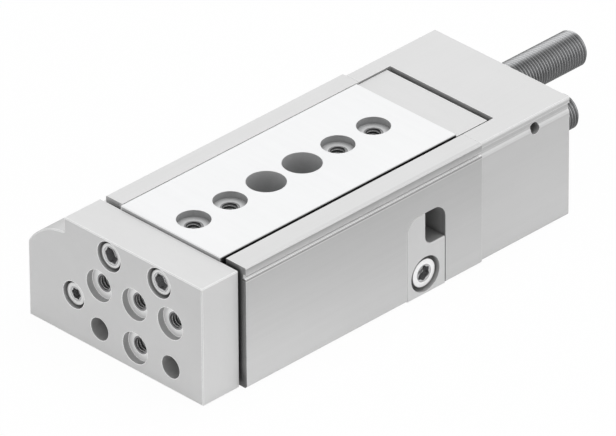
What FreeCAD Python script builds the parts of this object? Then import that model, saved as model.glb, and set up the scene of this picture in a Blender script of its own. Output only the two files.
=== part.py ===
import FreeCAD, Part
import os
import re

import Sketcher
from FreeCAD import Placement, Rotation, Vector

# Pneumatic mini slide: a guided table beside a cylinder, driven through a yoke plate at the front.
# X runs across the guide, +Y to the rear, +Z up. The origin lies on the base plane, below the middle of
# the table's row of holes.

doc = FreeCAD.newDocument("mini_slide")
dims = doc.addObject("Spreadsheet::Sheet", "dims")

# Driving dimensions in millimetres. Heights are measured from the base plane, and the words left and
# right stand for distances from the guide's centre plane.
driving_dimensions = {
    "stroke": 10.0,
    "overcut": 1.0,
    "pocket_lap": 0.1,
    "edge_break": 0.2,
    # housing
    "front_to_centre": 30.7,
    "body_height": 27.7,
    "right_wall": 5.5,
    "left_wall": 4.05,
    "base_edge": 0.5,
    "side_groove_depth": 0.7,
    "side_groove_drop": 1.65,
    "side_groove_width": 0.75,
    "side_groove_flank": 0.35,
    # barrel of the cylinder, on the housing's left
    "cylinder_inset": 1.6,
    "cylinder_height": 10.1,
    "bore_radius": 5.0,
    "barrel_round": 12.3,
    "barrel_shift": 1.65,
    "barrel_lift": 0.55,
    "barrel_overhang": 10.5,
    "sensor_slot_radius": 2.1,
    "sensor_slot_inset": 2.9,
    "sensor_slot_mouth": 2.9,
    "upper_slot_height": 14.4,
    "lower_slot_height": 5.0,
    "port_radius": 2.1,
    "port_depth": 4.5,
    "duct_radius": 1.0,
    "front_port_setback": 16.7,
    "rear_port_setback": 12.2,
    # channel and crossed roller guides
    "channel_depth": 8.0,
    "table_gap": 0.8,
    "lip_gap": 0.2,
    "rail_depth": 2.6,
    "rail_height": 5.8,
    "rail_lift": 0.4,
    "rail_play": 0.02,
    "rail_setback": 0.5,
    "roller_radius": 1.5,
    "roller_length": 2.9,
    "roller_play": 0.03,
    "roller_pitch": 5.5,
    "cage_length": 50.0,
    "cage_height": 5.4,
    "cage_thickness": 0.4,
    "cage_lead": 1.0,
    # slide table
    "table_width": 28.0,
    "table_length": 65.75,
    "table_proud": 0.1,
    "floor_play": 0.3,
    "hole_pitch": 10.0,
    "seat_radius": 3.5,
    "seat_depth": 1.6,
    "thread_core": 1.65,
    "access_radius": 4.1,
    # holes in the base
    "fixing_radius": 2.25,
    "fixing_head_radius": 3.8,
    "fixing_head_height": 8.0,
    "base_thread_across": 18.0,
    "base_thread_along": 50.0,
    "base_thread_centre": 5.0,
    "base_thread_depth": 6.5,
    # yoke plate
    "yoke_gap": 0.75,
    "yoke_thickness": 10.0,
    "yoke_inset": 1.3,
    "yoke_overhang": 0.6,
    "yoke_step_out": 0.85,
    "yoke_bottom": 0.15,
    "yoke_drop": 0.7,
    "yoke_low_height": 5.35,
    "yoke_thread_depth": 8.4,
    "yoke_plain_radius": 2.5,
    "yoke_plain_depth": 8.0,
    "yoke_screw_across": 14.0,
    "yoke_screw_drop": 3.7,
    # socket head screws of the moving pieces
    "screw_head_radius": 2.75,
    "screw_head_height": 3.0,
    "screw_core": 1.2,
    "screw_thread_play": 0.05,
    "screw_hole_play": 0.4,
    "screw_sunk": 0.5,
    "screw_bite": 7.5,
    "thread_runout": 0.5,
    "screw_socket": 2.5,
    "yoke_counterbore_play": 0.55,
    "rod_counterbore_play": 0.25,
    # tail block
    "tail_length": 8.6,
    "tail_below_table": 0.5,
    "tail_gap": 1.1,
    "rear_setback": 0.8,
    "toe_setback": 1.0,
    "toe_left_margin": 2.5,
    "toe_right_margin": 5.1,
    "toe_drop": 5.7,
    "toe_play": 0.3,
    "tail_screw_across": 20.0,
    "tail_screw_drop": 3.8,
    # stop sleeves
    "sleeve_across": 16.0,
    "sleeve_drop": 4.8,
    "sleeve_radius": 4.0,
    "sleeve_chamfer": 0.3,
    "sleeve_thread_play": 0.03,
    "sleeve_way_play": 0.4,
    "stop_play": 0.05,
    "retract_sleeve_out": 30.0,
    "advance_sleeve_out": 11.0,
    "sleeve_socket": 4.0,
    "sleeve_socket_depth": 4.0,
    "buffer_radius": 2.0,
    "buffer_play": 0.05,
    "buffer_length": 6.0,
    "nut_wall": 1.0,
    "nut_thickness": 3.0,
    "nut_room": 0.53,
    "nut_way": 1.1,
    # advance stop block
    "block_clearance": 0.5,
    "block_length": 10.9,
    "block_drop": 0.9,
    "block_margin": 5.0,
    "block_round": 3.3,
    "block_play": 0.03,
    "block_nose": 5.3,
    "notch_drop": 3.8,
    "notch_round": 2.0,
    "block_screw_setback": 5.2,
    "block_screw_height": 4.6,
    "block_screw_head": 3.15,
    "block_screw_head_height": 2.6,
    "block_screw_sunk": 0.4,
    "block_screw_head_play": 0.85,
    "block_screw_core": 1.6,
    "block_screw_play": 0.5,
    "block_screw_bite": 5.5,
    "block_screw_socket": 1.35,
    # end cap
    "cap_length": 25.6,
    "cap_right_inset": 0.5,
    "cap_left_inset": 0.85,
    "cap_groove_depth": 0.5,
    "cap_groove_drop": 1.5,
    "cap_flare_drop": 3.8,
    "cap_flare_round": 1.25,
    "cap_hole_radius": 1.25,
    "cap_hole_setback": 9.9,
    "cap_hole_drop": 3.3,
    "cap_hole_depth": 3.0,
    "boss_play": 0.05,
    "boss_length": 3.5,
    "boss_groove_setback": 1.0,
    "cap_screw_left": 5.5,
    "cap_screw_right": 3.4,
    "cap_screw_rise": 7.9,
    "cap_screw_low": 3.4,
    "cap_screw_core": 1.0,
    "cap_screw_play": 0.35,
    "cap_screw_bite": 7.0,
    "cap_screw_head": 2.25,
    "cap_screw_head_height": 2.5,
    "cap_screw_head_play": 0.1,
    "cap_screw_sunk": 0.5,
    "cap_screw_socket": 2.0,
    # piston rod and what seals it
    "rod_radius": 2.5,
    "rod_shoulder": 0.75,
    "spigot_play": 0.02,
    "rod_play": 0.04,
    "gland_step": 1.0,
    "gland_play": 0.04,
    "gland_length": 12.5,
    "gland_setback": 0.9,
    "gland_groove_setback": 6.0,
    "o_ring_depth": 0.8,
    "o_ring_width": 1.3,
    "o_ring_play": 0.02,
    "seal_section": 1.6,
    "seal_seat_depth": 2.5,
    "ring_thickness": 0.6,
    "ring_clearance": 1.1,
    "ring_groove_depth": 0.5,
    "cushion_thickness": 2.0,
    "cushion_bore_play": 0.2,
    "cushion_rod_play": 0.3,
    # piston
    "piston_play": 0.08,
    "piston_length": 11.0,
    "piston_rear_gap": 1.0,
    "piston_seal_depth": 1.3,
    "piston_seal_setback": 1.8,
    "piston_seal_width": 1.8,
    "piston_seal_play": 0.03,
    "magnet_depth": 1.5,
    "magnet_setback": 5.4,
    "magnet_width": 3.0,
    "magnet_skin": 0.3,
}
for row, (alias, size) in enumerate(driving_dimensions.items(), start=1):
    dims.set(f"A{row}", alias)
    dims.set(f"B{row}", str(size))
    dims.setAlias(f"B{row}", alias)
doc.recompute()

# Places and sizes that follow from the driving dimensions.
places = {
    # across
    "channel_half_width": "table_width / 2 + table_gap",
    "lip_half_width": "table_width / 2 + lip_gap",
    "body_right": "channel_half_width + right_wall",
    "body_left": "channel_half_width + left_wall",
    "cap_right": "body_right - cap_right_inset",
    "cap_left": "body_left - cap_left_inset",
    "cylinder_left": "body_left - cylinder_inset",
    "barrel_centre_left": "cylinder_left + barrel_shift",
    "barrel_reach": "barrel_centre_left + barrel_overhang",
    "slot_centre": "sensor_slot_inset - barrel_reach",
    "slot_lip": "slot_centre - sqrt(sensor_slot_radius ^ 2 - sensor_slot_mouth ^ 2 / 4)",
    "yoke_right": "body_right - yoke_inset",
    "yoke_reach": "barrel_reach + yoke_overhang",
    "yoke_step": "body_left + yoke_step_out",
    "yoke_round": "barrel_round + yoke_overhang",
    "roller_across": "(table_width / 2 + channel_half_width) / 2",
    "toe_left": "sleeve_across / 2 + toe_left_margin",
    "toe_right": "sleeve_across / 2 + toe_right_margin",
    "block_inner": "sleeve_across / 2 - block_margin",
    "block_depth": "body_right - block_inner",
    # heights
    "barrel_centre_height": "cylinder_height + barrel_lift",
    "channel_floor": "body_height - channel_depth",
    "side_groove_top": "body_height - side_groove_drop",
    "side_groove_bend": "side_groove_top - side_groove_width",
    "side_groove_low": "side_groove_bend - side_groove_flank",
    "rail_bottom": "channel_floor + rail_lift",
    "rail_top": "rail_bottom + rail_height",
    "roller_height": "rail_bottom + rail_height / 2",
    "table_bottom": "channel_floor + floor_play",
    "table_top": "body_height + table_proud",
    "tail_top": "table_top - tail_below_table",
    "tail_screw_height": "table_top - tail_screw_drop",
    "yoke_top": "body_height - yoke_drop",
    "yoke_screw_height": "yoke_top - yoke_screw_drop",
    "yoke_row_height": "yoke_low_height + hole_pitch",
    "sleeve_height": "channel_floor - sleeve_drop",
    "toe_bottom": "sleeve_height - toe_drop",
    "block_top": "channel_floor - block_drop",
    "notch_floor": "sleeve_height - notch_drop",
    "cap_groove_top": "body_height - cap_groove_drop",
    "cap_flare_low": "body_height - cap_flare_drop",
    "cap_flare_centre": "cap_right - cap_flare_round",
    "cap_flare_top": "cap_flare_low + sqrt(cap_flare_round ^ 2 - (cap_flare_round - cap_groove_depth) ^ 2)",
    "cap_hole_height": "body_height - cap_hole_drop",
    "cap_screw_high": "cylinder_height + cap_screw_rise",
    # along
    "housing_front": "-front_to_centre",
    "yoke_back": "housing_front - yoke_gap",
    "yoke_front": "yoke_back - yoke_thickness",
    "table_rear": "yoke_back + table_length",
    "housing_rear": "table_rear + rear_setback",
    "housing_length": "housing_rear - housing_front",
    "cap_rear": "housing_rear + cap_length",
    "tail_rear": "table_rear + tail_length",
    "toe_front": "table_rear + toe_setback",
    "recess_rear": "tail_rear + tail_gap",
    "block_rear": "toe_front - stroke - block_clearance",
    "block_front": "block_rear - block_length",
    "block_stop_face": "block_front + block_nose",
    "block_screw_along": "block_front + block_screw_setback",
    "advance_front": "block_stop_face + stroke + stop_play",
    "retract_front": "tail_rear + stop_play",
    "retract_rear": "cap_rear + retract_sleeve_out",
    "advance_rear": "cap_rear + advance_sleeve_out",
    "gland_front": "housing_front + gland_setback",
    "gland_rear": "housing_front + gland_length",
    "gland_groove": "housing_front + gland_groove_setback",
    "boss_front": "housing_rear - boss_length",
    "boss_groove": "housing_rear - boss_groove_setback - o_ring_width",
    "piston_rear": "boss_front - cushion_thickness - piston_rear_gap",
    "piston_front": "piston_rear - piston_length",
    "front_port": "housing_front + front_port_setback",
    "rear_port": "housing_rear + rear_port_setback",
    # radii and widths of what fits
    "thread_hole": "screw_core + screw_thread_play",
    "screw_hole": "screw_core + screw_hole_play",
    "yoke_counterbore": "screw_head_radius + yoke_counterbore_play",
    "rod_counterbore": "screw_head_radius + rod_counterbore_play",
    "nut_flats": "2 * (sleeve_radius + nut_wall)",
    "nut_recess_radius": "nut_flats / sqrt(3) + nut_room",
    "gland_seat": "bore_radius + gland_step",
    "seal_seat": "rod_radius + seal_section",
    "rod_spigot": "rod_radius - rod_shoulder",
}


def formula(text):
    """Write out a formula with the sheet's cells in place of the names of places and dimensions."""
    def spell(word):
        name = word.group(0)
        if name in places:
            return f"({formula(places[name])})"
        return f"dims.{name}" if name in driving_dimensions else name
    return re.sub(r"[a-z_]+", spell, str(text))


def number(text):
    return float(dims.evalExpression(formula(text)))


def bind(thing, **sizes):
    for size, text in sizes.items():
        thing.setExpression(size.replace("__", "."), formula(text))
    return thing


def put(thing, x, y, z, turn=Rotation()):
    thing.Placement = Placement(Vector(), turn)
    return bind(thing, Placement__Base__x=x, Placement__Base__y=y, Placement__Base__z=z)


along = {
    "x": Rotation(Vector(0, 1, 0), 90),
    "y": Rotation(Vector(1, 0, 0), -90),
    "z": Rotation(),
}


def cylinder(name, axis, x, y, z, radius, length):
    solid = bind(doc.addObject("Part::Cylinder", name), Radius=radius, Height=length)
    return put(solid, x, y, z, along[axis])


def box(name, x, y, z, wide, deep, tall):
    solid = bind(doc.addObject("Part::Box", name), Length=wide, Width=deep, Height=tall)
    return put(solid, x, y, z)


def hexagon(name, axis, x, y, z, flats, length):
    solid = doc.addObject("Part::Prism", name)
    solid.Polygon = 6
    bind(solid, Circumradius=f"{flats} / sqrt(3)", Height=length)
    return put(solid, x, y, z, along[axis])


def joined(name, solids):
    group = doc.addObject("Part::MultiFuse", name)
    group.Shapes = solids
    return group


def cut(name, base, *tools):
    piece = doc.addObject("Part::Cut", name)
    piece.Base = base
    piece.Tool = tools[0] if len(tools) == 1 else joined(f"{name}_tools", list(tools))
    return piece


def loose_set(name, solids):
    group = doc.addObject("Part::Compound", name)
    group.Links = solids
    return group


def closed_sketch(body, name, plane, corners, arcs=None):
    """Draw a closed outline whose corners are all dimensioned from the origin.

    arcs maps the number of a side to its centre, radius and turn (1 anticlockwise, -1 clockwise).
    """
    arcs = arcs or {}
    sketch = body.newObject("Sketcher::SketchObject", name)
    origin_plane = next(item for item in body.Origin.OriginFeatures if item.Role == plane)
    sketch.AttachmentSupport = [(origin_plane, "")]
    sketch.MapMode = "FlatFace"
    spots = [Vector(number(across), number(up), 0) for across, up in corners]
    starts = []
    ends = []
    for side, start in enumerate(spots):
        end = spots[(side + 1) % len(spots)]
        if side in arcs:
            centre_across, centre_up, radius, turn = arcs[side]
            centre = Vector(number(centre_across), number(centre_up), 0)
            first, last = (start, end) if turn > 0 else (end, start)
            circle = Part.Circle(centre, Vector(0, 0, 1), number(radius))
            arc = Part.ArcOfCircle(circle, circle.parameter(first), circle.parameter(last))
            sketch.addGeometry(arc, False)
            starts.append(1 if turn > 0 else 2)
            ends.append(2 if turn > 0 else 1)
        else:
            sketch.addGeometry(Part.LineSegment(start, end), False)
            starts.append(1)
            ends.append(2)
    constrain = Sketcher.Constraint
    for side, (across, up) in enumerate(corners):
        following = (side + 1) % len(corners)
        sketch.addConstraint(constrain("Coincident", side, ends[side], following, starts[following]))
        for kind, text, value in (("DistanceX", across, spots[side].x), ("DistanceY", up, spots[side].y)):
            index = sketch.addConstraint(constrain(kind, -1, 1, side, starts[side], value))
            sketch.setExpression(f"Constraints[{index}]", formula(text))
    for side, (_, _, radius, _) in arcs.items():
        index = sketch.addConstraint(constrain("Radius", side, number(radius)))
        sketch.setExpression(f"Constraints[{index}]", formula(radius))
    return sketch


def extruded(name, plane, start, length, corners, arcs=None, edges=None):
    """Pad an outline along +Y from the XZ plane, or along the plane's own normal, and break its edges."""
    body = doc.addObject("PartDesign::Body", name)
    sketch = closed_sketch(body, f"{name}_outline", plane, corners, arcs)
    backwards = plane == "XZ_Plane"
    sketch.setExpression("AttachmentOffset.Base.z", formula(f"-({start})" if backwards else start))
    pad = body.newObject("PartDesign::Pad", f"{name}_pad")
    pad.Profile = sketch
    pad.Reversed = backwards
    bind(pad, Length=length)
    if edges:
        doc.recompute()
        chamfer = body.newObject("PartDesign::Chamfer", f"{name}_edges")
        chamfer.Base = (pad, [""])
        chamfer.UseAllEdges = True
        bind(chamfer, Size=edges)
    return body


def turned(name, x, z, corners):
    """Revolve a half section, given as radius and place along Y, about an axis along Y."""
    body = doc.addObject("PartDesign::Body", name)
    sketch = closed_sketch(body, f"{name}_section", "XY_Plane", corners)
    revolution = body.newObject("PartDesign::Revolution", f"{name}_turning")
    revolution.Profile = sketch
    revolution.ReferenceAxis = (sketch, ["V_Axis"])
    revolution.Angle = 360
    return bind(body, Placement__Base__x=x, Placement__Base__z=z)


def ring(name, x, z, start, length, inner, outer):
    end = f"{start} + {length}"
    return turned(name, x, z, [(inner, start), (outer, start), (outer, end), (inner, end)])


def socket_screw(name, x, y, z, head, head_height, core, length, socket):
    """Socket head screw along Y with its head towards -Y, y being the head's face."""
    profile = [
        (0, y), (head, y), (head, f"{y} + {head_height}"), (core, f"{y} + {head_height}"),
        (core, f"{y} + {head_height} + {length}"), (0, f"{y} + {head_height} + {length}"),
    ]
    blank = turned(f"{name}_blank", x, z, profile)
    return cut(name, blank, hexagon(f"{name}_socket", "y", x, y, z, socket, f"{head_height} / 2"))


def rear_socket_screw(name, x, y, z, head, head_height, core, length, socket):
    """Socket head screw along Y with its head towards +Y, y being the head's face."""
    neck = f"{y} - {head_height}"
    profile = [
        (0, f"{neck} - ({length})"), (core, f"{neck} - ({length})"), (core, neck), (head, neck),
        (head, y), (0, y),
    ]
    blank = turned(f"{name}_blank", x, z, profile)
    depth = f"{head_height} / 2"
    return cut(name, blank, hexagon(f"{name}_socket", "y", x, f"{y} - {depth}", z, socket, depth))


pieces = {}


def sensor_slot(height):
    """Corners of a C-shaped slot in the barrel's left face, from its upper lip to its lower one."""
    upper = f"{height} + sensor_slot_mouth / 2"
    lower = f"{height} - sensor_slot_mouth / 2"
    return [("-barrel_reach", upper), ("slot_lip", upper), ("slot_lip", lower), ("-barrel_reach", lower)]


def round_at(across):
    """Height of the barrel's round at a distance to the left of the guide's centre."""
    return f"barrel_centre_height + sqrt(barrel_round ^ 2 - ({across} - barrel_centre_left) ^ 2)"


# Housing: one extrusion with the channel, the rails' seats, the side groove, the barrel and its slots.
# The channel's left wall overhangs its rail with a lip that comes close to the table.
rail_seat = "channel_half_width + rail_depth"
channel_right = [
    ("channel_half_width", "rail_top"), (rail_seat, "rail_top"), (rail_seat, "rail_bottom"),
    ("channel_half_width", "rail_bottom"), ("channel_half_width", "channel_floor"),
]
channel_left = [(f"-({across})", height) for across, height in reversed(channel_right)]
channel_left[-1] = ("-lip_half_width", "rail_top")
housing_corners = [
    ("body_right - base_edge", 0), ("body_right", "base_edge"), ("body_right", "side_groove_low"),
    ("body_right - side_groove_depth", "side_groove_bend"),
    ("body_right - side_groove_depth", "side_groove_top"), ("body_right", "side_groove_top"),
    ("body_right", "body_height - edge_break"), ("body_right - edge_break", "body_height"),
    ("channel_half_width", "body_height"), *channel_right, *channel_left,
    ("-lip_half_width", "body_height"), ("edge_break - body_left", "body_height"),
    ("-body_left", "body_height - edge_break"),
    ("-body_left", round_at("body_left")), ("-barrel_reach", round_at("barrel_reach")),
    *sensor_slot("upper_slot_height"), *sensor_slot("lower_slot_height"),
    ("-barrel_reach", "base_edge"), ("base_edge - barrel_reach", 0),
]
barrel_side = housing_corners.index(("-body_left", round_at("body_left")))
barrel_arc = ("-barrel_centre_left", "barrel_centre_height", "barrel_round", 1)
housing_arcs = {
    barrel_side: barrel_arc,
    barrel_side + 3: ("slot_centre", "upper_slot_height", "sensor_slot_radius", -1),
    barrel_side + 7: ("slot_centre", "lower_slot_height", "sensor_slot_radius", -1),
}
extrusion = extruded("housing_extrusion", "XZ_Plane", "housing_front", "housing_length",
                     housing_corners, housing_arcs)

cylinder_axis = ("-cylinder_left", "cylinder_height")
sleeve_x = {"retract": "-sleeve_across / 2", "advance": "sleeve_across / 2"}


def along_cylinder(name, start, length, radius):
    return cylinder(name, "y", "-cylinder_left", start, "cylinder_height", radius, length)


def port(name, place):
    """Threaded supply port from the left, with a duct to the cylinder's axis."""
    mouth = cylinder(f"{name}_port", "x", "-barrel_reach", place, "cylinder_height", "port_radius",
                     "port_depth")
    duct = cylinder(f"{name}_duct", "x", "-barrel_reach", place, "cylinder_height", "duct_radius",
                    "barrel_reach - cylinder_left")
    return [mouth, duct]


def block_outline(play, notched):
    """Arch of the advance stop block, seen along -X; the notch takes its upper rear corner."""
    front = f"block_front + {play}"
    rear = f"block_rear - {play}"
    top = f"block_top - {play}"
    arch_front = (f"{front} + block_round", f"{top} - block_round")
    corners = [(front, 0), (rear, 0)]
    arcs = {}
    if notched:
        corners += [
            (rear, "notch_floor"), ("block_stop_face + notch_round", "notch_floor"),
            ("block_stop_face", "notch_floor + notch_round"), ("block_stop_face", top),
        ]
        arcs[3] = ("block_stop_face + notch_round", "notch_floor + notch_round", "notch_round", -1)
    else:
        corners += [(rear, f"{top} - block_round"), (f"{rear} - block_round", top)]
        arcs[2] = (f"{rear} - block_round", f"{top} - block_round", "block_round", 1)
    arcs[len(corners)] = (*arch_front, "block_round", 1)
    corners += [(f"{front} + block_round", top), (front, f"{top} - block_round")]
    return corners, arcs


def sleeve_way(name, start, length):
    return cylinder(name, "y", sleeve_x["advance"], start, "sleeve_height",
                    "sleeve_radius + sleeve_way_play", length)


block_pocket = extruded("block_pocket", "YZ_Plane", "block_inner", "block_depth + overcut",
                        *block_outline("0", False))
housing_tools = [
    along_cylinder("bore", "housing_front", "housing_length", "bore_radius"),
    along_cylinder("gland_seat", "housing_front", "gland_length", "gland_seat"),
    along_cylinder("ring_groove", "gland_front - ring_thickness", "ring_thickness",
                   "gland_seat + ring_groove_depth"),
    *port("front", "front_port"),
    block_pocket,
    sleeve_way("block_way", "block_stop_face", "block_length"),
    box("toe_pocket", "-toe_left - toe_play", "block_rear - pocket_lap", "toe_bottom - toe_play",
        "toe_left + toe_right + 2 * toe_play", "housing_rear - block_rear + pocket_lap",
        "channel_floor - toe_bottom + toe_play"),
    cylinder("block_screw_thread", "x", "block_inner - block_screw_bite", "block_screw_along",
             "block_screw_height", "block_screw_core + screw_thread_play", "block_screw_bite"),
]
for step in (-0.5, 0.5):
    spot = f"{step} * hole_pitch"
    label = "front" if step < 0 else "rear"
    housing_tools += [
        cylinder(f"{label}_fixing", "z", 0, spot, 0, "fixing_radius", "channel_floor"),
        cylinder(f"{label}_fixing_head", "z", 0, spot, "fixing_head_height", "fixing_head_radius",
                 "channel_floor - fixing_head_height"),
        cylinder(f"{label}_base_seat", "z", 0, spot, 0, "seat_radius", "seat_depth"),
    ]
    for side in (-0.5, 0.5):
        housing_tools.append(cylinder(f"{label}_base_thread", "z", f"{side} * base_thread_across",
                                      f"base_thread_centre + {step} * base_thread_along", 0,
                                      "thread_core", "base_thread_depth"))

# The end cap's screws stand around the stop sleeves, clear of the bore, the slots and the toe's room.
left_screws = "-cylinder_left - cap_screw_left"
right_screws = "cap_right - cap_screw_right"
cap_screw_spots = {
    "upper_left": (left_screws, "cap_screw_high"),
    "lower_left": (left_screws, "cap_screw_low"),
    "lower_right": (right_screws, "cap_screw_low"),
    "upper_right": (right_screws, "sleeve_height"),
}
for label, (x, z) in cap_screw_spots.items():
    housing_tools.append(cylinder(f"{label}_cap_thread", "y", x, "housing_rear - cap_screw_bite", z,
                                  "cap_screw_core + screw_thread_play", "cap_screw_bite"))
pieces["housing"] = cut("housing", extrusion, *housing_tools)

# End cap: closes the bore with a boss, carries the retract stop and lets the advance stop through.
cap_corners = [
    ("cap_right - base_edge", 0), ("cap_right", "base_edge"), ("cap_right", "cap_flare_low"),
    ("cap_right - cap_groove_depth", "cap_flare_top"), ("cap_right - cap_groove_depth", "cap_groove_top"),
    ("cap_right", "cap_groove_top"), ("cap_right", "body_height"),
    ("-cap_left", "body_height"), ("-cap_left", round_at("cap_left")),
    ("-barrel_reach", round_at("barrel_reach")), ("-barrel_reach", "base_edge"),
    ("base_edge - barrel_reach", 0),
]
cap_arcs = {2: ("cap_flare_centre", "cap_flare_low", "cap_flare_round", 1), 8: barrel_arc}
cap_block = extruded("cap_block", "XZ_Plane", "housing_rear", "cap_length", cap_corners, cap_arcs,
                     edges="edge_break")
boss_radius = "bore_radius - boss_play"
boss_groove_radius = "bore_radius - o_ring_depth"
boss = turned("cap_boss", *cylinder_axis, [
    (0, "boss_front"), (boss_radius, "boss_front"), (boss_radius, "boss_groove"),
    (boss_groove_radius, "boss_groove"), (boss_groove_radius, "boss_groove + o_ring_width"),
    (boss_radius, "boss_groove + o_ring_width"), (boss_radius, "housing_rear + overcut"),
    (0, "housing_rear + overcut"),
])
cap_tools = [
    box("tail_recess", "-lip_half_width", "housing_rear", "channel_floor",
        "lip_half_width + channel_half_width", "recess_rear - housing_rear", "channel_depth"),
    box("toe_recess", "-toe_left - toe_play", "housing_rear", "toe_bottom - toe_play",
        "toe_left + toe_right + 2 * toe_play", "recess_rear - housing_rear",
        "channel_floor - toe_bottom + toe_play"),
    cylinder("nut_recess", "y", sleeve_x["advance"], "tail_rear", "sleeve_height",
             "nut_recess_radius", "nut_thickness + nut_way"),
    sleeve_way("cap_way", "tail_rear", "cap_rear - tail_rear"),
    cylinder("cap_thread", "y", sleeve_x["retract"], "tail_rear", "sleeve_height",
             "sleeve_radius + sleeve_thread_play", "cap_rear - tail_rear"),
    along_cylinder("rear_axial_duct", "boss_front", "rear_port - boss_front + duct_radius",
                   "duct_radius"),
    *port("rear", "rear_port"),
    cylinder("cap_side_hole", "x", "cap_right - cap_hole_depth", "cap_rear - cap_hole_setback",
             "cap_hole_height", "cap_hole_radius", "cap_hole_depth"),
]
for label, (x, z) in cap_screw_spots.items():
    sunk = "cap_screw_head_height + cap_screw_sunk"
    cap_tools += [
        cylinder(f"{label}_cap_hole", "y", x, "housing_rear", z, "cap_screw_core + cap_screw_play",
                 "cap_length"),
        cylinder(f"{label}_cap_counterbore", "y", x, f"cap_rear - ({sunk})", z,
                 "cap_screw_head + cap_screw_head_play", sunk),
    ]
pieces["end_cap"] = cut("end_cap", joined("cap_with_boss", [cap_block, boss]), *cap_tools)
pieces["cap_screws"] = loose_set("cap_screws", [
    rear_socket_screw(f"{label}_cap_screw", x, "cap_rear - cap_screw_sunk", z, "cap_screw_head",
                      "cap_screw_head_height", "cap_screw_core",
                      "cap_length - cap_screw_sunk - cap_screw_head_height + cap_screw_bite - thread_runout",
                      "cap_screw_socket")
    for label, (x, z) in cap_screw_spots.items()
])

# Crossed roller guides: a steel rail in each wall, and between it and the table a cage of rollers that
# lean one way and the other in turn. The vee tracks of rail and table make one square way for them.
rollers_per_side = 9


def roller_way(name, side, start, length):
    """Square way about a row of rollers, standing on its edge."""
    width = "2 * (roller_radius + roller_play)"
    way = bind(doc.addObject("Part::Box", name), Length=width, Width=length, Height=width)
    lean = Rotation(Vector(0, 1, 0), 45)
    return put(way, f"{side} * roller_across - {width} / sqrt(2)", start, "roller_height", lean)


def roller(name, side, spot, lean):
    """One roller, its axis leaning by 45 degrees to the right (1) or to the left (-1)."""
    solid = bind(doc.addObject("Part::Cylinder", name), Radius="roller_radius", Height="roller_length")
    shift = "roller_length / 2 / sqrt(2)"
    return put(solid, f"{side} * roller_across - {lean} * {shift}", spot, f"roller_height - {shift}",
               Rotation(Vector(0, 1, 0), 45 * lean))


for label, side in (("left", -1), ("right", 1)):
    inner = "channel_half_width"
    depth = "rail_depth - rail_play"
    rail = box(f"{label}_rail_bar", inner if side > 0 else f"-{inner} - ({depth})",
               "housing_front + rail_setback", "rail_bottom + rail_play", depth,
               "housing_length - 2 * rail_setback", "rail_height - 2 * rail_play")
    track = roller_way(f"{label}_rail_track", side, "housing_front", "housing_length")
    pieces[f"{label}_guide_rail"] = cut(f"{label}_guide_rail", rail, track)
    strip = box(f"{label}_cage_strip", f"{side} * roller_across - cage_thickness / 2",
                "cage_lead - cage_length / 2", "roller_height - cage_height / 2", "cage_thickness",
                "cage_length", "cage_height")
    windows = []
    rollers = []
    for place in range(rollers_per_side):
        spot = f"cage_lead + {place - (rollers_per_side - 1) / 2} * roller_pitch"
        wide = "2 * (roller_radius + roller_play)"
        tall = "(2 * roller_radius + roller_length) / sqrt(2) + 2 * roller_play"
        windows.append(box(f"{label}_window", f"{side} * roller_across - cage_thickness",
                           f"{spot} - ({wide}) / 2", f"roller_height - ({tall}) / 2",
                           "2 * cage_thickness", wide, tall))
        rollers.append(roller(f"{label}_roller", side, spot, 1 if place % 2 else -1))
    pieces[f"{label}_roller_cage"] = cut(f"{label}_roller_cage", strip, *windows)
    pieces[f"{label}_rollers"] = loose_set(f"{label}_rollers", rollers)

# Slide table: ground bar with a vee track along each side and one row of holes in its top.
table_half = "table_width / 2"
table_bar = extruded("table_bar", "XZ_Plane", "yoke_back", "table_length", [
    (f"-{table_half}", "table_bottom"), (table_half, "table_bottom"), (table_half, "table_top"),
    (f"-{table_half}", "table_top"),
], edges="edge_break")
table_tools = [roller_way("table_track", side, "yoke_back", "table_length") for side in (-1, 1)]
table_thick = "table_top - table_bottom"
for place in range(6):
    spot = f"{place - 2.5} * hole_pitch"
    if place in (2, 3):
        table_tools.append(cylinder("access_hole", "z", 0, spot, "table_bottom", "access_radius",
                                    table_thick))
    else:
        table_tools += [
            cylinder("table_thread", "z", 0, spot, "table_bottom", "thread_core", table_thick),
            cylinder("table_seat", "z", 0, spot, "table_top - seat_depth", "seat_radius", "seat_depth"),
        ]
for side in (-0.5, 0.5):
    table_tools += [
        cylinder("table_front_thread", "y", f"{side} * yoke_screw_across", "yoke_back",
                 "yoke_screw_height", "thread_hole", "screw_bite + thread_runout"),
        cylinder("table_rear_thread", "y", f"{side} * tail_screw_across",
                 "table_rear - screw_bite - thread_runout", "tail_screw_height", "thread_hole",
                 "screw_bite + thread_runout"),
    ]
pieces["slide_table"] = cut("slide_table", table_bar, *table_tools)

# Yoke plate: joins the piston rod, on the left, to the table.
yoke_round_top = "barrel_centre_height + sqrt(yoke_round ^ 2 - (yoke_step - barrel_centre_left) ^ 2)"
yoke_round_left = "barrel_centre_height + sqrt(yoke_round ^ 2 - (yoke_reach - barrel_centre_left) ^ 2)"
yoke_blank = extruded("yoke_blank", "XZ_Plane", "yoke_front", "yoke_thickness", [
    ("-yoke_reach", "yoke_bottom"), ("yoke_right", "yoke_bottom"), ("yoke_right", "yoke_top"),
    ("-yoke_step", "yoke_top"), ("-yoke_step", yoke_round_top), ("-yoke_reach", yoke_round_left),
], {4: ("-barrel_centre_left", "barrel_centre_height", "yoke_round", 1)}, edges="edge_break")


def yoke_hole(name, x, z, radius, depth):
    return cylinder(name, "y", x, "yoke_front", z, radius, depth)


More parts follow.
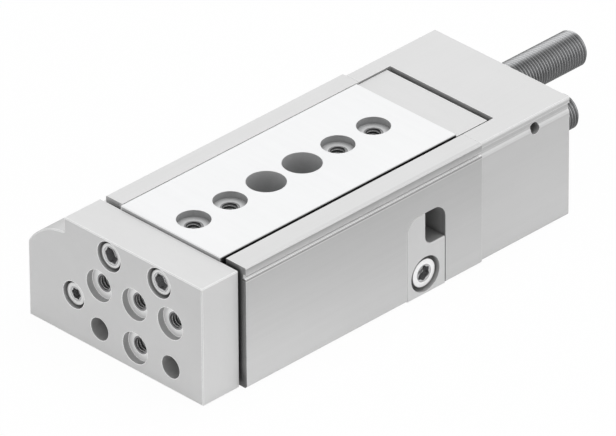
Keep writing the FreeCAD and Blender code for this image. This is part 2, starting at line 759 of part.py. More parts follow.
yoke_tools = []
for x, z in (("-hole_pitch", "yoke_row_height"), ("0", "yoke_row_height"),
             ("hole_pitch", "yoke_row_height"), ("0", "yoke_low_height")):
    yoke_tools += [
        yoke_hole("yoke_seat", x, z, "seat_radius", "seat_depth"),
        yoke_hole("yoke_thread", x, z, "thread_core", "yoke_thread_depth"),
    ]
for side in (-1, 1):
    yoke_tools += [
        yoke_hole("yoke_plain_hole", f"{side} * hole_pitch", "yoke_low_height", "yoke_plain_radius",
                  "yoke_plain_depth"),
        yoke_hole("yoke_screw_hole", f"{side} * yoke_screw_across / 2", "yoke_screw_height",
                  "screw_hole", "yoke_thickness"),
        yoke_hole("yoke_counterbore", f"{side} * yoke_screw_across / 2", "yoke_screw_height",
                  "yoke_counterbore", "screw_head_height + screw_sunk"),
    ]
yoke_tools += [
    yoke_hole("rod_screw_hole", *cylinder_axis, "screw_hole", "yoke_thickness"),
    yoke_hole("rod_screw_counterbore", *cylinder_axis, "rod_counterbore",
              "screw_head_height + screw_sunk"),
]
pieces["yoke_plate"] = cut("yoke_plate", yoke_blank, *yoke_tools)

front_screw = ["screw_head_radius", "screw_head_height", "screw_core",
               "yoke_thickness - screw_head_height - screw_sunk + screw_bite", "screw_socket"]
pieces["yoke_screws"] = loose_set("yoke_screws", [
    socket_screw(f"{label}_yoke_screw", f"{side} * yoke_screw_across / 2", "yoke_front + screw_sunk",
                 "yoke_screw_height", *front_screw)
    for label, side in (("left", -1), ("right", 1))
])
pieces["rod_screw"] = socket_screw("rod_screw", "-cylinder_left", "yoke_front + screw_sunk",
                                   "cylinder_height", *front_screw)

# Tail block: closes the table's rear and carries the advance stop; the retract stop meets its toe.
tail_head = box("tail_head", f"-{table_half}", "table_rear", "table_bottom", "table_width",
                "tail_length", "tail_top - table_bottom")
tail_toe = box("tail_toe", "-toe_left", "toe_front", "toe_bottom", "toe_left + toe_right",
               "tail_rear - toe_front", "table_bottom + overcut - toe_bottom")
tail_tools = [
    cylinder("tail_thread", "y", sleeve_x["advance"], "table_rear", "sleeve_height",
             "sleeve_radius + sleeve_thread_play", "tail_length"),
]
for side in (-0.5, 0.5):
    spot = (f"{side} * tail_screw_across", "tail_screw_height")
    tail_tools += [
        cylinder("tail_hole", "y", spot[0], "table_rear", spot[1], "screw_hole", "tail_length"),
        cylinder("tail_counterbore", "y", spot[0], "tail_rear - screw_head_height - screw_sunk",
                 spot[1], "rod_counterbore", "screw_head_height + screw_sunk"),
    ]
pieces["stop_carrier"] = cut("stop_carrier", joined("tail_body", [tail_head, tail_toe]), *tail_tools)
pieces["carrier_screws"] = loose_set("carrier_screws", [
    rear_socket_screw(f"{label}_carrier_screw", f"{side} * tail_screw_across", "tail_rear - screw_sunk",
                      "tail_screw_height", "screw_head_radius", "screw_head_height", "screw_core",
                      "tail_length - screw_head_height - screw_sunk + screw_bite", "screw_socket")
    for label, side in (("left", -0.5), ("right", 0.5))
])

# Stop sleeves: threaded, with an elastic buffer in the front end and a hexagon socket in the rear end.
sleeves = {
    "retract": ("retract_front", "retract_rear", "cap_rear"),
    "advance": ("advance_front", "advance_rear", "tail_rear"),
}
for label, (front, rear, nut_seat) in sleeves.items():
    x = sleeve_x[label]
    buffer_hole = "buffer_radius + buffer_play"
    blank = turned(f"{label}_sleeve_blank", x, "sleeve_height", [
        (buffer_hole, front), ("sleeve_radius - sleeve_chamfer", front),
        ("sleeve_radius", f"{front} + sleeve_chamfer"), ("sleeve_radius", f"{rear} - sleeve_chamfer"),
        ("sleeve_radius - sleeve_chamfer", rear), (0, rear), (0, f"{front} + buffer_length"),
        (buffer_hole, f"{front} + buffer_length"),
    ])
    socket = hexagon(f"{label}_sleeve_socket", "y", x, f"{rear} - sleeve_socket_depth", "sleeve_height",
                     "sleeve_socket", "sleeve_socket_depth")
    pieces[f"{label}_stop_sleeve"] = cut(f"{label}_stop_sleeve", blank, socket)
    pieces[f"{label}_buffer"] = cylinder(f"{label}_buffer", "y", x, front, "sleeve_height",
                                         "buffer_radius", "buffer_length")
    nut_hole = cylinder(f"{label}_nut_hole", "y", x, nut_seat, "sleeve_height",
                        "sleeve_radius + sleeve_thread_play", "nut_thickness")
    nut = hexagon(f"{label}_nut_blank", "y", x, nut_seat, "sleeve_height", "nut_flats", "nut_thickness")
    nut.Placement.Rotation = along["y"] * Rotation(Vector(0, 0, 1), 30)
    pieces[f"{label}_lock_nut"] = cut(f"{label}_lock_nut", nut, nut_hole)

# Advance stop block and its screw.
block_blank = extruded("block_blank", "YZ_Plane", "block_inner + block_play",
                       "block_depth - block_play", *block_outline("block_play", True),
                       edges="edge_break")
block_face = "body_right - block_screw_sunk"
pieces["advance_stop_block"] = cut(
    "advance_stop_block", block_blank,
    sleeve_way("block_groove", "block_stop_face", "block_length"),
    cylinder("block_hole", "x", "block_inner", "block_screw_along", "block_screw_height",
             "block_screw_core + block_screw_play", "block_depth"),
    cylinder("block_counterbore", "x", f"{block_face} - block_screw_head_height", "block_screw_along",
             "block_screw_height", "block_screw_head + block_screw_head_play",
             "block_screw_head_height + overcut"),
)
block_screw_parts = [
    cylinder("block_screw_head_blank", "x", f"{block_face} - block_screw_head_height",
             "block_screw_along", "block_screw_height", "block_screw_head", "block_screw_head_height"),
    cylinder("block_screw_shank", "x", "block_inner - block_screw_bite + thread_runout", "block_screw_along",
             "block_screw_height", "block_screw_core",
             f"{block_face} - block_screw_head_height - block_inner + block_screw_bite - thread_runout"),
]
pieces["stop_block_screw"] = cut(
    "stop_block_screw", joined("block_screw_blank", block_screw_parts),
    cylinder("block_screw_recess", "x", f"{block_face} - block_screw_head_height / 2",
             "block_screw_along", "block_screw_height", "block_screw_socket",
             "block_screw_head_height / 2"),
)

# Cylinder: gland, seals, cushions, rod and piston, all on the cylinder's axis.
seal_bottom = "gland_front + seal_seat_depth"
gland_radius = "gland_seat - gland_play"
gland_groove_radius = "gland_seat - o_ring_depth"
groove_rear = "gland_groove + o_ring_width"
rod_hole = "rod_radius + rod_play"
pieces["rod_gland"] = turned("rod_gland", *cylinder_axis, [
    (rod_hole, seal_bottom), ("seal_seat", seal_bottom), ("seal_seat", "gland_front"),
    (gland_radius, "gland_front"), (gland_radius, "gland_groove"),
    (gland_groove_radius, "gland_groove"), (gland_groove_radius, groove_rear),
    (gland_radius, groove_rear), (gland_radius, "gland_rear"), (rod_hole, "gland_rear"),
])
pieces["rod_seal"] = ring("rod_seal", *cylinder_axis, "gland_front", "seal_seat_depth", rod_hole,
                          "seal_seat - o_ring_play")
pieces["gland_retaining_ring"] = ring("gland_retaining_ring", *cylinder_axis,
                                      "gland_front - ring_thickness", "ring_thickness",
                                      "rod_radius + ring_clearance",
                                      "gland_seat + ring_groove_depth - o_ring_play")
cushion = ("rod_radius + cushion_rod_play", "bore_radius - cushion_bore_play")
pieces["front_cushion"] = ring("front_cushion", *cylinder_axis, "gland_rear", "cushion_thickness", *cushion)
pieces["rear_cushion"] = ring("rear_cushion", *cylinder_axis, "boss_front - cushion_thickness",
                              "cushion_thickness", *cushion)


def o_ring(name, groove, inner, outer):
    """O-ring about the cylinder's axis, pressed square in its groove with a little play."""
    return ring(name, *cylinder_axis, f"{groove} + o_ring_play", "o_ring_width - 2 * o_ring_play",
                f"{inner} + o_ring_play", f"{outer} - o_ring_play")


pieces["gland_o_ring"] = o_ring("gland_o_ring", "gland_groove", gland_groove_radius, "gland_seat")
pieces["cap_o_ring"] = o_ring("cap_o_ring", "boss_groove", boss_groove_radius, "bore_radius")

pieces["piston_rod"] = cut(
    "piston_rod",
    turned("rod_blank", *cylinder_axis, [
        (0, "yoke_back"), ("rod_radius", "yoke_back"), ("rod_radius", "piston_front"),
        ("rod_spigot", "piston_front"), ("rod_spigot", "piston_rear"), (0, "piston_rear"),
    ]),
    along_cylinder("rod_thread", "yoke_back", "screw_bite + thread_runout", "thread_hole"),
)
piston_radius = "bore_radius - piston_play"
seal_front = "piston_front + piston_seal_setback"
seal_rear = f"{seal_front} + piston_seal_width"
magnet_front = "piston_front + magnet_setback"
magnet_rear = f"{magnet_front} + magnet_width"
seal_groove = "bore_radius - piston_seal_depth"
magnet_groove = "bore_radius - magnet_depth"
spigot_hole = "rod_spigot + spigot_play"
pieces["piston"] = turned("piston", *cylinder_axis, [
    (spigot_hole, "piston_front"), (piston_radius, "piston_front"), (piston_radius, seal_front),
    (seal_groove, seal_front), (seal_groove, seal_rear), (piston_radius, seal_rear),
    (piston_radius, magnet_front), (magnet_groove, magnet_front), (magnet_groove, magnet_rear),
    (piston_radius, magnet_rear), (piston_radius, "piston_rear"), (spigot_hole, "piston_rear"),
])
pieces["piston_seal"] = ring("piston_seal", *cylinder_axis, seal_front, "piston_seal_width",
                             seal_groove, "bore_radius - piston_seal_play")
pieces["piston_magnet"] = ring("piston_magnet", *cylinder_axis, magnet_front, "magnet_width",
                               magnet_groove, f"{piston_radius} - magnet_skin")

doc.recompute()
for thing in doc.Objects:
    if "Invalid" in thing.State or "Error" in thing.State:
        raise RuntimeError(f"{thing.Name} failed: {thing.State}")
os.makedirs("parts", exist_ok=True)
for node, piece in pieces.items():
    piece.Label = node
    shape = piece.Shape
    if shape.isNull() or not shape.isValid():
        raise RuntimeError(f"{node} has no valid shape")
    print(f"{node}: {len(shape.Solids)} solids, {shape.Volume:.1f} mm3")
    shape.exportStep(f"parts/{node}.step")
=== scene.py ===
import math

import bmesh
import bpy
from mathutils import Matrix, Vector


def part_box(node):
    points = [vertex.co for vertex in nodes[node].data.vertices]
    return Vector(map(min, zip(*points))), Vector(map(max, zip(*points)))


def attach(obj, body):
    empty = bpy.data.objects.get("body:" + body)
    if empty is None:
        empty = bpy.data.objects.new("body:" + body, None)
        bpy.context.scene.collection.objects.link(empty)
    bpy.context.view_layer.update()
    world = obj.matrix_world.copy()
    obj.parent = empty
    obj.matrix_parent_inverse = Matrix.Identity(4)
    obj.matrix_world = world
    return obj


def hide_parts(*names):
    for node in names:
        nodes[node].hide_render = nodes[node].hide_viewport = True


# Pneumatic mini slide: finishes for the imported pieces, screws with six-lobe sockets, threaded stops,
# threads in the holes, a pale studio and the photograph's camera. Lengths are in metres.

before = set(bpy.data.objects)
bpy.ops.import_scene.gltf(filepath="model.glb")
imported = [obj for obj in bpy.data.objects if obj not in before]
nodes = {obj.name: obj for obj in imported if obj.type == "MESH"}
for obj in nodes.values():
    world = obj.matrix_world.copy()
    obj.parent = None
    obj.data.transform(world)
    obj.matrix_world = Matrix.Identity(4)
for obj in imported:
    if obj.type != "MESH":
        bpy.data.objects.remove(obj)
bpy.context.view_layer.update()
mm = 0.001


def middle(node):
    low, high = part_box(node)
    return (low + high) / 2


def link(tree, source, target):
    tree.links.new(source, target)


# Shader groups

# samples: rays for edges and hollows; edgeGain: how soon a bent edge counts in full; broadShare: fineness of
# the broad tool lines; levelFrom, uprightFrom and frontFrom: how far a face turns to count as such.
groupLooks = {
    "samples": 6, "edgeGain": 12.0, "lineDetail": 2.0, "broadShare": 0.17, "broadDetail": 1.0,
    "grainDetail": 2.0, "cloudDetail": 3.0, "levelFrom": 0.8, "uprightFrom": 0.3, "frontFrom": 0.7,
}


def newGroup(name, inputs, outputs):
    # inputs and outputs: name -> (socket type, default or None).
    group = bpy.data.node_groups.new(name, "ShaderNodeTree")
    for label, (kind, default) in inputs.items():
        socket = group.interface.new_socket(name=label, in_out="INPUT", socket_type=kind)
        if default is not None:
            socket.default_value = default
    for label, kind in outputs.items():
        group.interface.new_socket(name=label, in_out="OUTPUT", socket_type=kind)
    return group, group.nodes.new("NodeGroupInput"), group.nodes.new("NodeGroupOutput")


def mathNode(tree, operation, first, second):
    node = tree.nodes.new("ShaderNodeMath")
    node.operation = operation
    for place, value in enumerate((first, second)):
        if isinstance(value, (int, float)):
            node.inputs[place].default_value = value
        else:
            link(tree, value, node.inputs[place])
    return node.outputs[0]


def blend(tree, factor, first, second):
    # Number between first and second, by the factor.
    node = tree.nodes.new("ShaderNodeMix")
    for label, value in (("Factor", factor), ("A", first), ("B", second)):
        if isinstance(value, (int, float)):
            node.inputs[label].default_value = value
        else:
            link(tree, value, node.inputs[label])
    return node.outputs["Result"]


def split(tree, vector):
    parts = tree.nodes.new("ShaderNodeSeparateXYZ")
    link(tree, vector, parts.inputs[0])
    return parts.outputs


def noiseNode(tree, vector, scale, detail):
    node = tree.nodes.new("ShaderNodeTexNoise")
    node.inputs["Detail"].default_value = detail
    link(tree, vector, node.inputs["Vector"])
    if isinstance(scale, (int, float)):
        node.inputs["Scale"].default_value = scale
    else:
        link(tree, scale, node.inputs["Scale"])
    return node.outputs["Fac"]


def makeToolLines():
    # Fine lines of an extrusion, a milling cutter or a grinding wheel, long in one direction.
    group, given, out = newGroup(
        "toolLines",
        {"Vector": ("NodeSocketVector", None), "Stretch": ("NodeSocketVector", (1, 0.02, 1)),
         "Fineness": ("NodeSocketFloat", 4000.0)},
        {"Lines": "NodeSocketFloat"})
    stretched = group.nodes.new("ShaderNodeVectorMath")
    stretched.operation = "MULTIPLY"
    link(group, given.outputs["Vector"], stretched.inputs[0])
    link(group, given.outputs["Stretch"], stretched.inputs[1])
    fine = noiseNode(group, stretched.outputs[0], given.outputs["Fineness"], groupLooks["lineDetail"])
    broadFineness = mathNode(group, "MULTIPLY", given.outputs["Fineness"], groupLooks["broadShare"])
    broad = noiseNode(group, stretched.outputs[0], broadFineness, groupLooks["broadDetail"])
    both = mathNode(group, "ADD", fine, broad)
    link(group, mathNode(group, "MULTIPLY", both, 0.5), out.inputs["Lines"])  # their mean
    return group


def makeMattGrain():
    # Even grain of a blasted and anodised skin, with soft clouds for handling marks.
    group, given, out = newGroup(
        "mattGrain",
        {"Vector": ("NodeSocketVector", None), "Grain Scale": ("NodeSocketFloat", 5000.0),
         "Cloud Scale": ("NodeSocketFloat", 60.0)},
        {"Grain": "NodeSocketFloat", "Clouds": "NodeSocketFloat"})
    place = given.outputs["Vector"]
    grain = noiseNode(group, place, given.outputs["Grain Scale"], groupLooks["grainDetail"])
    clouds = noiseNode(group, place, given.outputs["Cloud Scale"], groupLooks["cloudDetail"])
    link(group, grain, out.inputs["Grain"])
    link(group, clouds, out.inputs["Clouds"])
    return group


def makeBrokenEdge():
    # Rounds the shading of sharp edges and gives a mask of where they are.
    group, given, out = newGroup(
        "brokenEdge", {"Radius": ("NodeSocketFloat", 0.0001)},
        {"Edge": "NodeSocketFloat", "Normal": "NodeSocketVector"})
    bevel = group.nodes.new("ShaderNodeBevel")
    bevel.samples = groupLooks["samples"]
    link(group, given.outputs["Radius"], bevel.inputs["Radius"])
    geometry = group.nodes.new("ShaderNodeNewGeometry")
    product = group.nodes.new("ShaderNodeVectorMath")
    product.operation = "DOT_PRODUCT"
    link(group, bevel.outputs["Normal"], product.inputs[0])
    link(group, geometry.outputs["Normal"], product.inputs[1])
    bent = mathNode(group, "SUBTRACT", 1.0, product.outputs["Value"])
    strong = mathNode(group, "MULTIPLY", bent, groupLooks["edgeGain"])
    link(group, mathNode(group, "MINIMUM", strong, 1.0), out.inputs["Edge"])
    link(group, bevel.outputs["Normal"], out.inputs["Normal"])
    return group


def makeHollowShade():
    # Darkens what lies inside holes, slots and gaps: 1 in the open, the given tone deep inside.
    group, given, out = newGroup(
        "hollowShade",
        {"Reach": ("NodeSocketFloat", 0.005), "Deep Tone": ("NodeSocketFloat", 0.2),
         "Open From": ("NodeSocketFloat", 0.8), "Closed Below": ("NodeSocketFloat", 0.0)},
        {"Shade": "NodeSocketFloat"})
    opening = group.nodes.new("ShaderNodeAmbientOcclusion")
    opening.samples = groupLooks["samples"]
    link(group, given.outputs["Reach"], opening.inputs["Distance"])
    ramp = group.nodes.new("ShaderNodeMapRange")
    link(group, opening.outputs["AO"], ramp.inputs["Value"])
    link(group, given.outputs["Open From"], ramp.inputs["From Max"])
    link(group, given.outputs["Closed Below"], ramp.inputs["From Min"])
    link(group, given.outputs["Deep Tone"], ramp.inputs["To Min"])
    link(group, ramp.outputs["Result"], out.inputs["Shade"])
    return group


def makeStandingTone():
    # Painted light and shade of upright faces: a tone from the base to the top, which the pale floor lights
    # from below, and a tone for faces to the front.
    group, given, out = newGroup(
        "standingTone",
        {"Vector": ("NodeSocketVector", None), "Height": ("NodeSocketFloat", 0.028),
         "Low Tone": ("NodeSocketFloat", 1.0), "High Tone": ("NodeSocketFloat", 0.9),
         "Front Tone": ("NodeSocketFloat", 1.0)},
        {"Tone": "NodeSocketFloat"})
    place = group.nodes.new("ShaderNodeSeparateXYZ")
    link(group, given.outputs["Vector"], place.inputs[0])
    rise = group.nodes.new("ShaderNodeMapRange")
    link(group, place.outputs["Z"], rise.inputs["Value"])
    link(group, given.outputs["Height"], rise.inputs["From Max"])
    link(group, given.outputs["Low Tone"], rise.inputs["To Min"])
    link(group, given.outputs["High Tone"], rise.inputs["To Max"])
    geometry = group.nodes.new("ShaderNodeNewGeometry")
    parts = group.nodes.new("ShaderNodeSeparateXYZ")
    link(group, geometry.outputs["True Normal"], parts.inputs[0])
    level = mathNode(group, "ABSOLUTE", parts.outputs["Z"], 0)
    upright = group.nodes.new("ShaderNodeMapRange")
    upright.inputs["From Min"].default_value = groupLooks["levelFrom"]
    upright.inputs["From Max"].default_value = groupLooks["uprightFrom"]
    link(group, level, upright.inputs["Value"])
    front = mathNode(group, "LESS_THAN", parts.outputs["Y"], -groupLooks["frontFrom"])
    frontTone = blend(group, front, 1.0, given.outputs["Front Tone"])
    sideTone = mathNode(group, "MULTIPLY", rise.outputs["Result"], frontTone)
    link(group, blend(group, upright.outputs["Result"], 1.0, sideTone), out.inputs["Tone"])
    return group


toolLines = makeToolLines()
mattGrain = makeMattGrain()
brokenEdge = makeBrokenEdge()
hollowShade = makeHollowShade()
standingTone = makeStandingTone()
print("groups made")


# Finishes

# What all finishes share. square: how nearly a face must look along an axis to count as facing it;
# brightSide: where the threads are lit from; endTone: painted light of their end faces; fullyLeft and fullyUp:
# where leftShadeTone, a painted shade, takes full hold; hollow and edgeHighlightGlow, the painted shade of
# hollows and the glow of the painted edge highlight: for finishes that give none.
surface = {
    "square": 0.9, "brightSide": (-0.65, 0, 0.76), "endTone": 1.5, "fullyLeft": 0.7, "fullyUp": 0.4,
    "hollow": (5 * mm, 0.2, 0.8), "baseBelow": 0.3 * mm, "edgeHighlightGlow": 0.08, "roughSpread": 0.06,
    "grainRelief": 0.5, "reliefDepth": 0.05 * mm,
}

# Colours and tones of each finish. edge and edgeHighlightColour: share and colour of a painted edge highlight;
# lines: stretch of the tool lines; standing: tones of painted light and shade on upright faces at the base, at
# the top and to the front; hollow and frontHollow: painted shade, with reach, deep tone, open from and closed
# below; openBelow: no hollow shade left of this; bands and along: painted light and shade, lines of highlight
# and shadow by height and tones along Y, in millimetres, to the right of bandsFrom; paintedTurnTones: painted
# light and shade by the turn to brightSide; paintedPatches: boxes in millimetres with tones of painted light
# and shade.
finishes = {
    "housingAluminium": {
        "colour": (0.72, 0.72, 0.72), "edgeHighlightColour": (0.93, 0.93, 0.93), "edge": 0.6, "edgeRadius": 0.12 * mm,
        "metallic": 0.35, "roughness": 0.42, "lines": (1, 0.015, 1), "lineScale": 3500, "lineTone": 0.05,
        "bump": 0.06, "clouds": 0.03, "standing": (0.99, 0.71, 1.0), "hollow": (5 * mm, 0.05, 0.45),
        "frontHollow": (5 * mm, 0.12, 0.95, 0.4), "openBelow": -13.5 * mm, "edgeHighlightGlow": 0.12,
        "bandsFrom": 19.3 * mm,
        # Painted light and shade along the flank's groove: highlight and shadow lines by height, tones along Y.
        "bands": [(24.2, 1.0), (24.4, 1.06), (24.52, 1.4), (24.62, 0.98), (24.72, 0.52), (24.88, 0.48),
                  (24.97, 0.58), (25.01, 1.1), (25.06, 1.8), (25.1, 2.2), (25.14, 2.1), (25.19, 1.6),
                  (25.23, 1.2), (25.3, 1.15), (25.45, 1.15), (26.05, 1.1), (26.2, 1.03), (26.56, 0.99),
                  (26.7, 0.93), (26.92, 0.87), (27.16, 0.8), (27.3, 0.72), (27.44, 0.88), (27.52, 1.05),
                  (27.7, 1.0)],
        "along": [(-31, 1.0), (0, 0.93), (35, 0.9)],
        # Painted shade in the stop block's window, there without the hollow shade, and painted light on the
        # channel's left wall.
        "paintedPatches": [
            {"low": (12, 13, 3), "high": (20.1, 25.5, 19.3), "front": 0.6, "other": 0.6, "open": True},
            {"low": (-15, -31, 15), "high": (-13.6, 45, 27.6), "front": 1.38, "other": 1.38},
        ],
    },
    "capAluminium": {
        "colour": (0.72, 0.72, 0.72), "edgeHighlightColour": (0.93, 0.93, 0.93), "edge": 0.7, "edgeRadius": 0.18 * mm,
        "metallic": 0.35, "roughness": 0.42, "lines": (1, 0.015, 1), "lineScale": 3500, "lineTone": 0.03,
        "bump": 0.06, "clouds": 0.03, "standing": (0.91, 0.81, 1.0), "hollow": (5 * mm, 0.12, 0.45),
        "edgeHighlightGlow": 0.2,
        "bandsFrom": 18.5 * mm,
        # Painted light and shade along the flank's groove: highlight and shadow lines by height.
        "bands": [(23.5, 0.97), (23.8, 0.92), (23.9, 0.98), (24.0, 1.06), (24.17, 1.16), (24.33, 1.1),
                  (24.5, 1.16), (24.67, 1.16), (24.75, 1.1), (24.84, 1.03), (24.93, 0.96), (25.05, 0.91),
                  (25.7, 0.91), (26.2, 0.92), (26.45, 0.95), (26.56, 0.99), (26.75, 0.9), (26.95, 0.9),
                  (27.1, 0.97), (27.25, 1.25), (27.45, 1.15), (27.6, 1.0), (27.7, 1.0)],
    },
    "yokeAluminium": {
        "colour": (0.72, 0.72, 0.72), "edgeHighlightColour": (0.97, 0.97, 0.97), "edge": 0.9, "edgeRadius": 0.25 * mm,
        "metallic": 0.35, "roughness": 0.42, "lines": (0.3, 1, 0.3), "lineScale": 2500, "lineTone": 0.03,
        "bump": 0.05, "clouds": 0.03, "standing": (1.0, 0.95, 0.9), "hollow": (5 * mm, 0.7, 0.65),
        # Painted shade of faces that look to the left and upwards.
        "edgeHighlightGlow": 0.22, "leftShadeTone": 0.58,
        # Painted light on the seats' floors, painted shade on their walls, and painted light on the walls low
        # at both sides.
        "paintedPatches": [
            {"low": (-14.5, -41.3, 1), "high": (14.5, -31, 20), "front": 1.7, "other": 0.6},
            {"low": (6, -41.3, 1), "high": (14.5, -31, 9), "other": 1.4},
            {"low": (-14.5, -41.3, 1), "high": (-6, -31, 9), "other": 1.4},
        ],
    },
    "blockAluminium": {
        "colour": (0.7, 0.7, 0.7), "edgeHighlightColour": (0.9, 0.9, 0.9), "edge": 0.4, "edgeRadius": 0.1 * mm,
        "metallic": 0.3, "roughness": 0.45, "lines": (1, 1, 0.1), "lineScale": 2500, "lineTone": 0.03,
        "bump": 0.05, "clouds": 0.03, "standing": (1.0, 0.88, 1.0), "hollow": (6 * mm, 0.7, 0.5),
        # Painted shade in the stop block's window.
        "paintedPatches": [{"low": (12, 13, 8.5), "high": (20.15, 25.5, 19.3), "front": 0.5, "other": 0.5}],
    },
    "groundSteel": {
        "colour": (0.89, 0.895, 0.9), "edgeHighlightColour": (1, 1, 1), "edge": 0.5, "edgeRadius": 0.1 * mm,
        "metallic": 0.3, "roughness": 0.32, "lines": (0.02, 1, 1), "lineScale": 5000, "lineTone": 0.03,
        "bump": 0.03, "clouds": 0.02, "standing": (0.8, 0.8, 1.0), "hollow": (7 * mm, 0.02, 0.85),
        "openBelow": -13.5 * mm, "bandsFrom": 13.9 * mm,
        # Painted shade: the table's right side, in the narrow gap by the housing, dark below its top edge.
        "bands": [(19.0, 0.1), (27.6, 0.1), (27.7, 0.7), (27.8, 1.0)],
        # Painted light on the table's left side, in its narrow gap by the housing.
        "paintedPatches": [{"low": (-14.2, -32, 15), "high": (-13.8, 45, 27.6), "front": 1.3, "other": 1.3}],
    },
    "screwSteel": {
        "colour": (0.72, 0.72, 0.72), "edgeHighlightColour": (0.95, 0.95, 0.95), "edge": 0.5, "edgeRadius": 0.08 * mm,
        "metallic": 0.7, "roughness": 0.3, "lines": (1, 1, 1), "lineScale": 3000, "lineTone": 0.06,
        "bump": 0.05, "clouds": 0.05,
    },
    "brightSteel": {
        "colour": (0.95, 0.95, 0.95), "edgeHighlightColour": (1, 1, 1), "edge": 0.5, "edgeRadius": 0.08 * mm,
        "metallic": 0.7, "roughness": 0.3, "lines": (1, 1, 1), "lineScale": 3000, "lineTone": 0.05,
        "bump": 0.05, "clouds": 0.04,
    },
    # Painted shade: a darker, shaded copy of the screw steel for the sockets, with painted glints on its edges.
    "shadedSocketSteel": {
        "colour": (0.42, 0.42, 0.425), "edgeHighlightColour": (0.9, 0.9, 0.9), "edge": 0.8, "edgeRadius": 0.15 * mm,
        "metallic": 0.95, "roughness": 0.2, "lines": (1, 1, 1), "lineScale": 3000, "lineTone": 0.2,
        "bump": 0.08, "clouds": 0.2, "hollow": (3 * mm, 0.75, 0.5),
    },
    # Painted shade and highlight in the tapped holes: a dark, shaded copy of the metal for the thread, a lit
    # copy with a strong edge glow for its crests' lands, and a dark ring of painted shade at the mouth.
    "shadedHoleThread": {
        "colour": (0.11, 0.11, 0.112), "edgeHighlightColour": (0.5, 0.5, 0.5), "edge": 0.15, "edgeRadius": 0.05 * mm,
        "metallic": 0.7, "roughness": 0.35, "lines": (1, 1, 1), "lineScale": 3000, "lineTone": 0.1,
        "bump": 0.06, "clouds": 0.08, "hollow": (2.5 * mm, 0.3, 0.7), "edgeHighlightGlow": 0.02,
    },
    "litHoleLand": {
        "colour": (0.9, 0.9, 0.905), "edgeHighlightColour": (0.95, 0.95, 0.95), "edge": 0.3, "edgeRadius": 0.05 * mm,
        "metallic": 0.3, "roughness": 0.28, "lines": (1, 1, 1), "lineScale": 3000, "lineTone": 0.1,
        "bump": 0.06, "clouds": 0.08, "hollow": (2.5 * mm, 1.0, 0.4), "edgeHighlightGlow": 1.3,
    },
    "shadedHoleMouth": {
        "colour": (0.3, 0.3, 0.305), "edgeHighlightColour": (0.5, 0.5, 0.5), "edge": 0.15, "edgeRadius": 0.05 * mm,
        "metallic": 0.5, "roughness": 0.35, "lines": (1, 1, 1), "lineScale": 3000, "lineTone": 0.1,
        "bump": 0.06, "clouds": 0.08, "hollow": (2.5 * mm, 0.8, 0.4), "edgeHighlightGlow": 0.02,
    },
    # Painted highlight: a lighter, lit copy of the thread steel for the crests' lands of the stop threads.
    "litThreadLand": {
        "colour": (0.31, 0.312, 0.315), "edgeHighlightColour": (0.75, 0.75, 0.75), "edge": 0.05, "edgeRadius": 0.04 * mm,
        "metallic": 0.6, "roughness": 0.3, "lines": (1, 1, 1), "lineScale": 3000, "lineTone": 0.1,
        "bump": 0.06, "clouds": 0.06, "hollow": (0.6 * mm, 0.3, 0.9), "edgeHighlightGlow": 0.0,
        "paintedTurnTones": [(-1, 0.55), (-0.6, 1.1), (-0.4, 1.5), (-0.2, 1.85), (0, 1.8), (0.1, 1.55), (0.2, 1.4),
                      (0.3, 1.1), (0.4, 0.93), (0.5, 1.0), (0.6, 1.6), (0.7, 2.7), (0.85, 2.75), (0.93, 2.0),
                      (0.985, 0.65), (1, 0.5)],
    },
    "threadSteel": {
        "colour": (0.19, 0.192, 0.195), "edgeHighlightColour": (0.5, 0.5, 0.5), "edge": 0.05, "edgeRadius": 0.04 * mm,
        "metallic": 0.6, "roughness": 0.35, "lines": (1, 1, 1), "lineScale": 3000, "lineTone": 0.1,
        "bump": 0.06, "clouds": 0.06, "hollow": (0.6 * mm, 0.45, 0.9), "edgeHighlightGlow": 0.0,
        # Painted light and shade around the stop threads, by how far the surface turns to the bright side.
        "paintedTurnTones": [(-1, 0.55), (-0.6, 1.1), (-0.4, 1.5), (-0.2, 1.85), (0, 1.8), (0.1, 1.55), (0.2, 1.4),
                      (0.3, 1.1), (0.4, 0.95), (0.5, 1.07), (0.6, 1.9), (0.7, 3.25), (0.85, 3.5), (0.93, 2.4),
                      (0.985, 0.65), (1, 0.5)],
    },
    "railSteel": {
        "colour": (0.55, 0.55, 0.56), "edgeHighlightColour": (0.8, 0.8, 0.8), "edge": 0.4, "edgeRadius": 0.08 * mm,
        "metallic": 0.8, "roughness": 0.3, "lines": (1, 0.02, 1), "lineScale": 5000, "lineTone": 0.05,
        "bump": 0.04, "clouds": 0.03,
    },
    "rodChrome": {
        "colour": (0.75, 0.75, 0.76), "edgeHighlightColour": (0.9, 0.9, 0.9), "edge": 0.3, "edgeRadius": 0.08 * mm,
        "metallic": 1.0, "roughness": 0.12, "lines": (0.02, 1, 0.02), "lineScale": 6000, "lineTone": 0.03,
        "bump": 0.02, "clouds": 0.02,
    },
    "glandBronze": {
        "colour": (0.55, 0.39, 0.19), "edgeHighlightColour": (0.75, 0.6, 0.35), "edge": 0.4, "edgeRadius": 0.08 * mm,
        "metallic": 0.9, "roughness": 0.35, "lines": (0.1, 1, 0.1), "lineScale": 4000, "lineTone": 0.06,
        "bump": 0.05, "clouds": 0.05,
    },
    "cagePlastic": {
        "colour": (0.72, 0.67, 0.52), "edgeHighlightColour": (0.85, 0.8, 0.66), "edge": 0.3, "edgeRadius": 0.08 * mm,
        "metallic": 0.0, "roughness": 0.6, "lines": (1, 1, 1), "lineScale": 2500, "lineTone": 0.04,
        "bump": 0.05, "clouds": 0.06,
    },
    "sealRubber": {
        "colour": (0.03, 0.03, 0.033), "edgeHighlightColour": (0.1, 0.1, 0.1), "edge": 0.3, "edgeRadius": 0.1 * mm,
        "metallic": 0.0, "roughness": 0.7, "lines": (1, 1, 1), "lineScale": 3000, "lineTone": 0.1,
        "bump": 0.1, "clouds": 0.1,
    },
